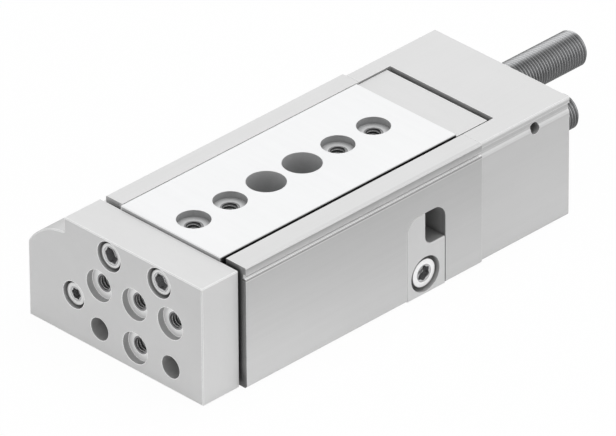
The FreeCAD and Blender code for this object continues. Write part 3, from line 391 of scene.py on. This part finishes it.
    "magnetBlack": {
        "colour": (0.06, 0.06, 0.065), "edgeHighlightColour": (0.2, 0.2, 0.2), "edge": 0.4, "edgeRadius": 0.1 * mm,
        "metallic": 0.2, "roughness": 0.55, "lines": (1, 1, 1), "lineScale": 3500, "lineTone": 0.1,
        "bump": 0.08, "clouds": 0.08,
    },
}


def placeGroup(tree, group, **values):
    node = tree.nodes.new("ShaderNodeGroup")
    node.node_tree = group
    for label, value in values.items():
        node.inputs[label.replace("_", " ")].default_value = value
    return node


def rampNode(tree, value, low, high, stops):
    # Tone by linear steps between (value, tone) stops. The ramp itself only holds tones up to 1.
    ramp = tree.nodes.new("ShaderNodeValToRGB")
    peak = max(tone for spot, tone in stops)
    elements = ramp.color_ramp.elements
    while len(elements) < len(stops):
        elements.new(0.5)
    for element, (spot, tone) in zip(elements, stops):
        element.position = (spot - low) / (high - low)
        element.color = (tone / peak, tone / peak, tone / peak, 1)
    share = tree.nodes.new("ShaderNodeMapRange")
    share.inputs["From Min"].default_value = low
    share.inputs["From Max"].default_value = high
    link(tree, value, share.inputs["Value"])
    link(tree, share.outputs["Result"], ramp.inputs["Fac"])
    return mathNode(tree, "MULTIPLY", ramp.outputs["Color"], peak)


def paintedBandLight(tree, spot, look):
    # Painted light and shade along the right flank: lines of highlight and shadow by height and tones along Y,
    # beyond bandsFrom.
    bands = [(height * mm, tone) for height, tone in look["bands"]]
    tone = rampNode(tree, spot["Z"], bands[0][0], bands[-1][0], bands)
    if "along" in look:
        along = [(length * mm, tone) for length, tone in look["along"]]
        alongTone = rampNode(tree, spot["Y"], along[0][0], along[-1][0], along)
        tone = mathNode(tree, "MULTIPLY", tone, alongTone)
    beyond = mathNode(tree, "GREATER_THAN", spot["X"], look["bandsFrom"])
    return blend(tree, beyond, 1.0, tone)


def facing(tree):
    # The way a surface faces, in X, Y and Z.
    geometry = tree.nodes.new("ShaderNodeNewGeometry")
    return split(tree, geometry.outputs["True Normal"])


def insideBox(tree, spot, patch):
    # 1 within the patch's box, which is given in millimetres, and 0 outside it.
    inside = 1.0
    for axis, low, high in zip("XYZ", patch["low"], patch["high"]):
        inside = mathNode(tree, "MULTIPLY", inside, mathNode(tree, "GREATER_THAN", spot[axis], low * mm))
        inside = mathNode(tree, "MULTIPLY", inside, mathNode(tree, "LESS_THAN", spot[axis], high * mm))
    return inside


def facesFront(tree):
    return mathNode(tree, "LESS_THAN", facing(tree)["Y"], -surface["square"])


def paintedPatchTone(tree, inside, patch):
    # Painted light and shade of a patch: one tone for faces to the front and one for the others.
    tone = blend(tree, facesFront(tree), patch["other"], patch.get("front", 1.0))
    return blend(tree, inside, 1.0, tone)


def paintedTurnLight(tree, stops):
    # Painted light and shade around a bar along Y: tone by how far its surface turns to the bright side, and a
    # painted light on its end faces.
    geometry = tree.nodes.new("ShaderNodeNewGeometry")
    flat = tree.nodes.new("ShaderNodeVectorMath")
    flat.operation = "MULTIPLY"
    flat.inputs[1].default_value = (1, 0, 1)
    link(tree, geometry.outputs["Normal"], flat.inputs[0])
    unit = tree.nodes.new("ShaderNodeVectorMath")
    unit.operation = "NORMALIZE"
    link(tree, flat.outputs[0], unit.inputs[0])
    towards = tree.nodes.new("ShaderNodeVectorMath")
    towards.operation = "DOT_PRODUCT"
    towards.inputs[1].default_value = surface["brightSide"]
    link(tree, unit.outputs[0], towards.inputs[0])
    along = mathNode(tree, "ABSOLUTE", facing(tree)["Y"], 0)
    endFace = mathNode(tree, "GREATER_THAN", along, surface["square"])
    around = rampNode(tree, towards.outputs["Value"], -1, 1, stops)
    return blend(tree, endFace, around, surface["endTone"])


def paintedLeftShade(tree, tone):
    # Painted shade: a darker tone of faces that look to the left and upwards.
    leftward = tree.nodes.new("ShaderNodeMapRange")
    link(tree, facing(tree)["X"], leftward.inputs["Value"])
    leftward.inputs["From Max"].default_value = -surface["fullyLeft"]
    upward = tree.nodes.new("ShaderNodeMapRange")
    link(tree, facing(tree)["Z"], upward.inputs["Value"])
    upward.inputs["From Max"].default_value = surface["fullyUp"]
    weight = mathNode(tree, "MULTIPLY", leftward.outputs["Result"], upward.outputs["Result"])
    return blend(tree, weight, 1.0, tone)


def hollowTone(tree, look, spot):
    # Shade of hollows. The base, which stands on the floor, has none.
    reach, deep, openFrom = look.get("hollow", surface["hollow"])
    hollow = placeGroup(tree, hollowShade, Reach=reach, Deep_Tone=deep, Open_From=openFrom)
    downward = mathNode(tree, "LESS_THAN", facing(tree)["Z"], -surface["square"])
    low = mathNode(tree, "LESS_THAN", spot["Z"], surface["baseBelow"])
    shade = blend(tree, mathNode(tree, "MULTIPLY", downward, low), hollow.outputs["Shade"], 1.0)
    if "frontHollow" in look:
        reach, deep, openFrom, closedBelow = look["frontHollow"]
        inFront = placeGroup(tree, hollowShade, Reach=reach, Deep_Tone=deep, Open_From=openFrom,
                             Closed_Below=closedBelow)
        shade = blend(tree, facesFront(tree), shade, inFront.outputs["Shade"])
    if "openBelow" in look:
        shade = blend(tree, mathNode(tree, "LESS_THAN", spot["X"], look["openBelow"]), shade, 1.0)
    return shade


def about(tree, value, middle, spread):
    # A value from 0 to 1 turned into one around middle, at most the spread away from it.
    node = mathNode(tree, "MULTIPLY_ADD", value, 2 * spread).node
    node.inputs[2].default_value = middle - spread
    return node.outputs[0]


# The colour with its painted light and shade: tones of upright faces, of the bands, of the threads' turn, of
# faces to the left and of the patches, a painted edge highlight and painted shade in hollows.
def baseColour(tree, look, place, lines, grain, edge):
    spot = split(tree, place)
    tone = mathNode(tree, "MULTIPLY", about(tree, lines.outputs["Lines"], 1, look["lineTone"]),
                    about(tree, grain.outputs["Clouds"], 1, look["clouds"]))
    low, high, front = look.get("standing", (1, 1, 1))
    standing = placeGroup(tree, standingTone, Low_Tone=low, High_Tone=high, Front_Tone=front)
    link(tree, place, standing.inputs["Vector"])
    parts = [standing.outputs["Tone"]]
    if "bands" in look:
        parts.append(paintedBandLight(tree, spot, look))
    if "paintedTurnTones" in look:
        parts.append(paintedTurnLight(tree, look["paintedTurnTones"]))
    if "leftShadeTone" in look:
        parts.append(paintedLeftShade(tree, look["leftShadeTone"]))
    shade = hollowTone(tree, look, spot)
    for patch in look.get("paintedPatches", []):
        inside = insideBox(tree, spot, patch)
        parts.append(paintedPatchTone(tree, inside, patch))
        if patch.get("open"):
            shade = blend(tree, inside, shade, 1.0)
    for part in parts:
        tone = mathNode(tree, "MULTIPLY", tone, part)
    colour = tree.nodes.new("ShaderNodeVectorMath")
    colour.operation = "SCALE"
    colour.inputs[0].default_value = look["colour"]
    link(tree, tone, colour.inputs["Scale"])
    # Painted highlight: along the edges the colour is mixed towards the lighter edge colour, by the edge share.
    mixed = tree.nodes.new("ShaderNodeMix")
    mixed.data_type = "RGBA"
    mixed.inputs["B"].default_value = (*look["edgeHighlightColour"], 1)
    link(tree, mathNode(tree, "MULTIPLY", edge.outputs["Edge"], look["edge"]), mixed.inputs["Factor"])
    link(tree, colour.outputs[0], mixed.inputs["A"])
    shaded = tree.nodes.new("ShaderNodeVectorMath")
    shaded.operation = "SCALE"
    link(tree, mixed.outputs["Result"], shaded.inputs[0])
    link(tree, shade, shaded.inputs["Scale"])
    return shaded.outputs[0]


def makeFinish(name, look):
    material = bpy.data.materials.new(name)
    material.use_nodes = True
    tree = material.node_tree
    shader = tree.nodes["Principled BSDF"]
    place = tree.nodes.new("ShaderNodeTexCoord").outputs["Object"]
    lines = placeGroup(tree, toolLines, Stretch=look["lines"], Fineness=look["lineScale"])
    grain = placeGroup(tree, mattGrain)
    edge = placeGroup(tree, brokenEdge, Radius=look["edgeRadius"])
    link(tree, place, lines.inputs["Vector"])
    link(tree, place, grain.inputs["Vector"])
    link(tree, baseColour(tree, look, place, lines, grain, edge), shader.inputs["Base Color"])

    # Painted highlight: the edges glow, though they are no lamp.
    highlightGlow = tree.nodes.new("ShaderNodeCombineColor")
    for channel in ("Red", "Green", "Blue"):
        link(tree, edge.outputs["Edge"], highlightGlow.inputs[channel])
    link(tree, highlightGlow.outputs[0], shader.inputs["Emission Color"])
    shader.inputs["Emission Strength"].default_value = look.get("edgeHighlightGlow", surface["edgeHighlightGlow"])
    shader.inputs["Metallic"].default_value = look["metallic"]
    rough = about(tree, grain.outputs["Grain"], look["roughness"], surface["roughSpread"])
    link(tree, rough, shader.inputs["Roughness"])

    fine = mathNode(tree, "MULTIPLY", grain.outputs["Grain"], surface["grainRelief"])
    bump = tree.nodes.new("ShaderNodeBump")
    bump.inputs["Strength"].default_value = look["bump"]
    bump.inputs["Distance"].default_value = surface["reliefDepth"]
    link(tree, mathNode(tree, "ADD", lines.outputs["Lines"], fine), bump.inputs["Height"])
    link(tree, edge.outputs["Normal"], bump.inputs["Normal"])
    link(tree, bump.outputs["Normal"], shader.inputs["Normal"])
    return material


materials = {name: makeFinish(name, look) for name, look in finishes.items()}

dressed = {
    "housingAluminium": ["housing"],
    "capAluminium": ["end_cap"],
    "yokeAluminium": ["yoke_plate", "stop_carrier", "piston"],
    "blockAluminium": ["advance_stop_block"],
    "groundSteel": ["slide_table"],
    "screwSteel": ["cap_screws", "carrier_screws", "gland_retaining_ring", "retract_lock_nut",
                   "advance_lock_nut", "left_rollers", "right_rollers", "yoke_screws", "rod_screw",
                   "stop_block_screw"],
    "railSteel": ["left_guide_rail", "right_guide_rail"],
    "rodChrome": ["piston_rod"],
    "glandBronze": ["rod_gland"],
    "cagePlastic": ["left_roller_cage", "right_roller_cage"],
    "sealRubber": ["rod_seal", "front_cushion", "rear_cushion", "gland_o_ring", "cap_o_ring", "piston_seal",
                   "retract_buffer", "advance_buffer"],
    "magnetBlack": ["piston_magnet"],
    "threadSteel": ["retract_stop_sleeve", "advance_stop_sleeve"],
}
for finish, names in dressed.items():
    for name in names:
        if not nodes[name].material_slots:
            nodes[name].data.materials.append(None)
        for slot in nodes[name].material_slots:
            slot.material = materials[finish]
print("nodes dressed")


# Turned pieces

def ringMesh(rings, segments):
    # Points and faces of a piece turned about Z, and the band that each face lies in. Each ring is a height
    # and a radius, or a height and a function of the angle; a radius of 0 closes the piece.
    points = []
    loops = []
    for height, radius in rings:
        if radius == 0:
            loops.append([len(points)])
            points.append(Vector((0, 0, height)))
            continue
        loops.append(list(range(len(points), len(points) + segments)))
        for step in range(segments):
            angle = 2 * math.pi * step / segments
            reach = radius(angle) if callable(radius) else radius
            points.append(Vector((reach * math.cos(angle), reach * math.sin(angle), height)))
    faces = []
    bands = []
    for band, (lower, upper) in enumerate(zip(loops, loops[1:])):
        for step in range(segments):
            following = (step + 1) % segments
            if len(lower) == 1:
                faces.append((lower[0], upper[following], upper[step]))
            elif len(upper) == 1:
                faces.append((lower[step], lower[following], upper[0]))
            else:
                faces.append((lower[step], lower[following], upper[following], upper[step]))
            bands.append(band)
    return points, faces, bands


def finishPiece(name, mesh, body, finishNames, sharp):
    mesh.shade_smooth()
    mesh.set_sharp_from_angle(angle=math.radians(sharp))
    for finish in finishNames:
        mesh.materials.append(materials[finish])
    piece = bpy.data.objects.new(name, mesh)
    bpy.context.scene.collection.objects.link(piece)
    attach(piece, body)
    return piece


towardsFront = Matrix.Rotation(math.radians(90), 3, "X")
towardsRear = Matrix.Rotation(math.radians(-90), 3, "X")
towardsRight = Matrix.Rotation(math.radians(90), 3, "Y")


def sixLobes(size, wave):
    # Radius of a six-lobe socket about its axis: size to the lobes' tips, wave their depth's half.
    return lambda angle: size * (1 - wave + wave * math.cos(6 * angle))


# Each screw: its head and how tall it is, its shank and length, the rim's rounding, the dish and the socket
# in the head's face, the socket's bevel and the half depth of its lobes, as a share of its size.
screws = {
    "yoke": {
        "finish": "screwSteel", "head": 2.75 * mm, "tall": 3.0 * mm, "shank": 1.2 * mm, "length": 16.9 * mm,
        "rim": 0.3 * mm, "dish": 2.2 * mm, "dishDepth": 0.06 * mm, "socket": 1.75 * mm,
        "socketDepth": 2.2 * mm, "bevel": 0.15 * mm, "wave": 0.06,
    },
    "rod": {
        "finish": "screwSteel", "head": 2.5 * mm, "tall": 3.0 * mm, "shank": 1.2 * mm, "length": 16.9 * mm,
        "rim": 0.3 * mm, "dish": 1.75 * mm, "dishDepth": 0.12 * mm, "socket": 1.25 * mm,
        "socketDepth": 1.9 * mm, "bevel": 0.12 * mm, "wave": 0.08,
    },
    "block": {
        "finish": "brightSteel", "head": 3.15 * mm, "tall": 2.6 * mm, "shank": 1.6 * mm,
        "length": 21.8 * mm, "rim": 0.25 * mm, "dish": 2.05 * mm, "dishDepth": 0.05 * mm,
        "socket": 1.7 * mm, "socketDepth": 1.8 * mm, "bevel": 0.12 * mm, "wave": 0.09,
    },
}
# What all screws share: the shank's width and rise at its tip, the rim's rounding and the socket's end are
# shares of the shank, rim and socket.
screwShape = {"tipWidth": 0.8, "tipRise": 0.4, "rimRound": 0.3, "socketTip": 0.25, "socketBands": 4,
              "segments": 72, "sharp": 32}


def screwRings(look):
    # Rings from the shank's end to the head's face and into the socket, the face lying at 0.
    head, shank, tall, rim = look["head"], look["shank"], look["tall"], look["rim"]
    socket, bevel, dishDepth = look["socket"], look["bevel"], look["dishDepth"]
    tip = shank * screwShape["tipRise"] - look["length"]
    corner = rim * screwShape["rimRound"]
    lobes = sixLobes(socket, look["wave"])
    return [(-look["length"], 0), (-look["length"], shank * screwShape["tipWidth"]), (tip, shank),
            (-tall, shank), (-tall, head - rim), (rim - tall, head), (-rim, head), (-corner, head - corner),
            (0, head - rim), (0, look["dish"]), (-dishDepth, look["dish"] - dishDepth),
            (-dishDepth, sixLobes(socket + bevel, look["wave"])), (-dishDepth - bevel, lobes),
            (-look["socketDepth"], lobes), (-look["socketDepth"] - socket * screwShape["socketTip"], 0)]


def addScrew(name, look, place, turn, body):
    rings = screwRings(look)
    points, faces, bands = ringMesh(rings, screwShape["segments"])
    mesh = bpy.data.meshes.new(name)
    mesh.from_pydata([place + turn @ point for point in points], [], faces)
    socketFrom = len(rings) - 1 - screwShape["socketBands"]
    mesh.polygons.foreach_set("material_index", [int(band >= socketFrom) for band in bands])
    return finishPiece(name, mesh, body, (look["finish"], "shadedSocketSteel"), screwShape["sharp"])


def addScrews():
    low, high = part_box("yoke_screws")
    reach = screws["yoke"]["head"]
    for label, x in (("left", low.x + reach), ("right", high.x - reach)):
        place = Vector((x, low.y, middle("yoke_screws").z))
        piece = addScrew(f"{label}_yoke_screw", screws["yoke"], place, towardsFront, "slide")
        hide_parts("yoke_screws")
    low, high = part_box("rod_screw")
    place = Vector((middle("rod_screw").x, low.y, middle("rod_screw").z))
    piece = addScrew("rod_end_screw", screws["rod"], place, towardsFront, "slide")
    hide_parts("rod_screw")
    low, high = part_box("stop_block_screw")
    place = Vector((high.x, middle("stop_block_screw").y, middle("stop_block_screw").z))
    piece = addScrew("block_screw", screws["block"], place, towardsRight, "housing")
    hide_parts("stop_block_screw")


addScrews()
print("screws made")


# Threads

crestBand = 2  # the profile's band that lies between its two crest points


def threadProfile(look):
    # Two points at the root and two at the crest, at their shares of the pitch.
    return list(zip(look["shares"], (look["root"], look["root"], look["crest"], look["crest"])))


def helix(pitch, profile, length, segments, ends):
    # Points and faces of a threaded wall along Z, and which faces are the crest's land. profile: shares of the
    # pitch and radii, from threadProfile; ends: radius limit as a function of the height. The turns run past
    # both ends and are flattened there.
    turns = int(length / pitch) + 3
    rows = turns * len(profile)
    points = []
    for row in range(rows):
        share, radius = profile[row % len(profile)]
        for step in range(segments):
            height = (row // len(profile) - 1 + share + step / segments - 0.5) * pitch
            angle = 2 * math.pi * step / segments
            height = min(max(height, 0), length)
            reach = ends(height, radius)
            points.append(Vector((reach * math.cos(angle), reach * math.sin(angle), height)))
    faces = []
    lands = []
    for row in range(rows - 1):
        for step in range(segments):
            following = (step + 1) % segments
            lift = len(profile) if following == 0 else 0
            if row + lift + 1 < rows:
                faces.append((row * segments + step, (row + lift) * segments + following,
                              (row + lift + 1) * segments + following, (row + 1) * segments + step))
                lands.append(int(row % len(profile) == crestBand))
    return points, faces, lands


stops = {
    "crest": 3.98 * mm, "root": 3.60 * mm, "pitch": 0.75 * mm, "shares": (0, 0.12, 0.5, 0.62),
    "chamfer": 0.3 * mm, "segments": 96,
    "socket": 2.31 * mm, "socketDepth": 4 * mm, "socketEdge": 0.2 * mm, "socketTip": 1 * mm,
    "socketFlare": 1.06, "buffer": 2.05 * mm, "bufferDepth": 6 * mm, "sharp": 25,
}


def hexagon(size):
    # Radius of a hexagon about its axis, size being its corners' radius.
    return lambda angle: size * math.cos(math.pi / 6) / math.cos(angle % (math.pi / 3) - math.pi / 6)


def plain(part, number=0):
    # The part with one material number for all its faces.
    points, faces = part[:2]
    return points, faces, [number] * len(faces)


def joinMesh(name, parts):
    # One mesh of several parts, each with points, faces and the faces' material numbers.
    points = []
    faces = []
    numbers = []
    for somePoints, someFaces, someNumbers in parts:
        start = len(points)
        points += somePoints
        faces += [tuple(start + corner for corner in face) for face in someFaces]
        numbers += someNumbers
    mesh = bpy.data.meshes.new(name)
    mesh.from_pydata(points, [], faces)
    mesh.polygons.foreach_set("material_index", numbers)
    return mesh


weldWithin = 1e-6
flatWithin = 1e-7


def weld(mesh):
    work = bmesh.new()
    work.from_mesh(mesh)
    bmesh.ops.remove_doubles(work, verts=work.verts, dist=weldWithin)
    bmesh.ops.dissolve_degenerate(work, edges=work.edges, dist=flatWithin)
    bmesh.ops.recalc_face_normals(work, faces=work.faces)
    work.to_mesh(mesh)
    work.free()


def addStop(name, node, body):
    # Threaded stop sleeve: chamfered ends, a hexagon socket at the rear and a buffer's seat in front.
    # It is made along Z, its front end at 0, and then turned and moved to its place.
    low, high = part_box(node)
    length = high.y - low.y
    endRadius = stops["crest"] - stops["chamfer"]

    def endLimit(height, radius):
        fromEnd = min(height, length - height)
        return min(radius, endRadius + fromEnd) if fromEnd > 0 else endRadius

    wall = helix(stops["pitch"], threadProfile(stops), length, stops["segments"], endLimit)
    rear = ringMesh([(length, endRadius), (length, hexagon(stops["socket"] * stops["socketFlare"])),
                     (length - stops["socketEdge"], hexagon(stops["socket"])),
                     (length - stops["socketDepth"], hexagon(stops["socket"])),
                     (length - stops["socketDepth"] - stops["socketTip"], 0)], stops["segments"])
    front = ringMesh([(stops["bufferDepth"], 0), (stops["bufferDepth"], stops["buffer"]),
                      (0, stops["buffer"]), (0, endRadius)], stops["segments"])
    mesh = joinMesh(name, [wall, plain(rear), plain(front)])
    middleLine = middle(node)
    mesh.transform(towardsRear.to_4x4())
    mesh.transform(Matrix.Translation((middleLine.x, low.y, middleLine.z)))
    weld(mesh)
    piece = finishPiece(name, mesh, body, ("threadSteel", "litThreadLand"), stops["sharp"])
    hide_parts(node)


addStop("retract_stop_thread", "retract_stop_sleeve", "retract_stop")
addStop("advance_stop_thread", "advance_stop_sleeve", "advance_stop")
print("stops made")

tapped = {
    "crest": 1.42 * mm, "root": 1.62 * mm, "wall": 1.70 * mm, "mouth": 1.97 * mm, "pitch": 0.7 * mm,
    "shares": (0, 0.3, 0.5, 0.75), "sunk": 0.02 * mm, "lipRise": 0.015 * mm, "segments": 48, "sharp": 50,
    "tableHoles": [(0, 25 * mm), (0, 15 * mm), (0, -15 * mm), (0, -25 * mm)], "tableDepth": 6.1 * mm,
    "tableSeat": 1.6 * mm,
    "yokeHoles": [(-10 * mm, 15.35 * mm), (0, 15.35 * mm), (10 * mm, 15.35 * mm), (0, 5.35 * mm)],
    "yokeDepth": 6.7 * mm, "yokeSeat": 1.6 * mm,
}


# The tapped holes' painted shade and light: the shaded thread, its lit crests and the dark lip.
holeFinishes = ("shadedHoleThread", "litHoleLand", "shadedHoleMouth")


def addHoleThread(name, place, turn, depth):
    # Threaded lining of a tapped hole, going down from its mouth, inside a plain wall with a dark lip: a thin
    # ring of painted shade just above the seat's floor, where a chamfer in shade would be.
    segments = tapped["segments"]

    def mouthLimit(height, radius):
        return max(radius, tapped["root"] - height, tapped["root"] - (depth - height))

    lining = helix(tapped["pitch"], threadProfile(tapped), depth, segments, mouthLimit)
    lip = tapped["sunk"] + tapped["lipRise"]
    wall = ringMesh([(0, tapped["root"]), (-lip, tapped["root"]), (-lip, tapped["mouth"]),
                     (lip, tapped["mouth"]), (lip, tapped["wall"]), (depth, tapped["wall"]),
                     (depth, tapped["root"])], segments)
    mesh = joinMesh(name, [lining, plain(wall, holeFinishes.index("shadedHoleMouth"))])
    mesh.transform(Matrix.Translation(place) @ turn.to_4x4())
    weld(mesh)
    finishPiece(name, mesh, "slide", holeFinishes, tapped["sharp"])


def addHoleThreads():
    down = Matrix.Rotation(math.radians(180), 3, "X")
    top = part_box("slide_table")[1].z - tapped["tableSeat"] - tapped["sunk"]
    for number, (x, y) in enumerate(tapped["tableHoles"], 1):
        addHoleThread(f"table_thread_{number}", Vector((x, y, top)), down, tapped["tableDepth"])
    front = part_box("yoke_plate")[0].y + tapped["yokeSeat"] + tapped["sunk"]
    for number, (x, z) in enumerate(tapped["yokeHoles"], 1):
        addHoleThread(f"yoke_thread_{number}", Vector((x, front, z)), towardsRear, tapped["yokeDepth"])


addHoleThreads()
print("hole threads made")


# Studio

studio = {
    "floor": 6.0, "floorDrop": 0.05 * mm, "clearWithin": 0.4 * mm, "floorColour": (0.9, 0.9, 0.9),
    "floorRoughness": 0.9, "floorShine": 0.96, "skyLight": 0.5, "aim": (0, 0.01, 0.014),
    "lamps": {
        "top": {"place": (0.1, 0.3, 1.4), "size": 1.3, "power": 11.8},
        "front": {"place": (-0.4, -1.3, 0.5), "size": 0.9, "power": 2.15},
        "right": {"place": (1.3, 0.5, 0.5), "size": 0.9, "power": 1.6},
    },
}


def addLamp(name, lamp):
    data = bpy.data.lights.new(name, "AREA")
    data.shape = "DISK"
    data.size = lamp["size"]
    data.energy = lamp["power"]
    lampObject = bpy.data.objects.new(name, data)
    bpy.context.scene.collection.objects.link(lampObject)
    lampObject.location = lamp["place"]
    aim = Vector(studio["aim"]) - Vector(lamp["place"])
    lampObject.rotation_euler = aim.to_track_quat("-Z", "Y").to_euler()
    lampObject.visible_camera = False
    lampObject.visible_glossy = False


def whiteRays(tree):
    # 1 for rays that should see the white background, 0 for those that light the object.
    rays = tree.nodes.new("ShaderNodeLightPath")
    seen = mathNode(tree, "MAXIMUM", rays.outputs["Is Camera Ray"], rays.outputs["Is Glossy Ray"])
    return mathNode(tree, "MAXIMUM", seen, rays.outputs["Is Transmission Ray"])


def addFloor():
    size = studio["floor"]
    level = -studio["floorDrop"]
    corners = [(-size, -size, level), (size, -size, level), (size, size, level), (-size, size, level)]
    mesh = bpy.data.meshes.new("floor")
    mesh.from_pydata(corners, [], [(0, 1, 2, 3)])
    floor = bpy.data.objects.new("floor", mesh)
    bpy.context.scene.collection.objects.link(floor)
    material = bpy.data.materials.new("paleFloor")
    material.use_nodes = True
    tree = material.node_tree
    shader = tree.nodes["Principled BSDF"]
    shader.inputs["Base Color"].default_value = (*studio["floorColour"], 1)
    shader.inputs["Roughness"].default_value = studio["floorRoughness"]
    white = tree.nodes.new("ShaderNodeEmission")
    mixed = tree.nodes.new("ShaderNodeMixShader")
    link(tree, mathNode(tree, "MULTIPLY", whiteRays(tree), studio["floorShine"]), mixed.inputs["Fac"])
    link(tree, shader.outputs[0], mixed.inputs[1])
    link(tree, white.outputs[0], mixed.inputs[2])
    clear = tree.nodes.new("ShaderNodeBsdfTransparent")
    sides = tree.nodes.new("ShaderNodeMixShader")
    geometry = tree.nodes.new("ShaderNodeNewGeometry")
    rays = tree.nodes.new("ShaderNodeLightPath")
    near = mathNode(tree, "LESS_THAN", rays.outputs["Ray Length"], studio["clearWithin"])
    link(tree, mathNode(tree, "MAXIMUM", geometry.outputs["Backfacing"], near), sides.inputs["Fac"])
    link(tree, mixed.outputs[0], sides.inputs[1])
    link(tree, clear.outputs[0], sides.inputs[2])
    link(tree, sides.outputs[0], tree.nodes["Material Output"].inputs["Surface"])
    mesh.materials.append(material)


def setWorld():
    world = bpy.data.worlds.new("studio")
    bpy.context.scene.world = world
    world.use_nodes = True
    tree = world.node_tree
    background = tree.nodes["Background"]
    background.inputs["Color"].default_value = (1, 1, 1, 1)
    strength = mathNode(tree, "MULTIPLY_ADD", whiteRays(tree), 1 - studio["skyLight"])
    strength.node.inputs[2].default_value = studio["skyLight"]
    link(tree, strength, background.inputs["Strength"])


for lampName, lamp in studio["lamps"].items():
    addLamp(f"{lampName}_lamp", lamp)
addFloor()
setWorld()
bpy.context.scene.view_settings.view_transform = "Standard"

photoCamera = {
    "azimuth": 45.26, "elevation": 31.41, "roll": -0.363, "distance": 2.286, "lens": 674.7, "sensor": 36.0,
    "aim": (-0.00064, 0.00268, 0.01492), "right": 0.00318, "up": 0.00072, "nearest": 0.1, "farthest": 50,
}


def addCamera(view):
    azimuth, elevation, roll = (math.radians(view[part]) for part in ("azimuth", "elevation", "roll"))
    back = Vector((math.sin(azimuth) * math.cos(elevation),
                   -math.cos(azimuth) * math.cos(elevation), math.sin(elevation)))
    level = Vector((math.cos(azimuth), math.sin(azimuth), 0))
    upright = back.cross(level)
    right = math.cos(roll) * level + math.sin(roll) * upright
    up = math.cos(roll) * upright - math.sin(roll) * level
    data = bpy.data.cameras.new("photo_camera")
    data.lens = view["lens"]
    data.sensor_width = view["sensor"]
    data.clip_start = view["nearest"]
    data.clip_end = view["farthest"]
    camera = bpy.data.objects.new("photo_camera", data)
    bpy.context.scene.collection.objects.link(camera)
    place = Vector(view["aim"]) + right * view["right"] + up * view["up"] + back * view["distance"]
    camera.matrix_world = Matrix.Translation(place) @ Matrix((right, up, back)).transposed().to_4x4()
    bpy.context.scene.camera = camera


addCamera(photoCamera)
print("studio and camera set")
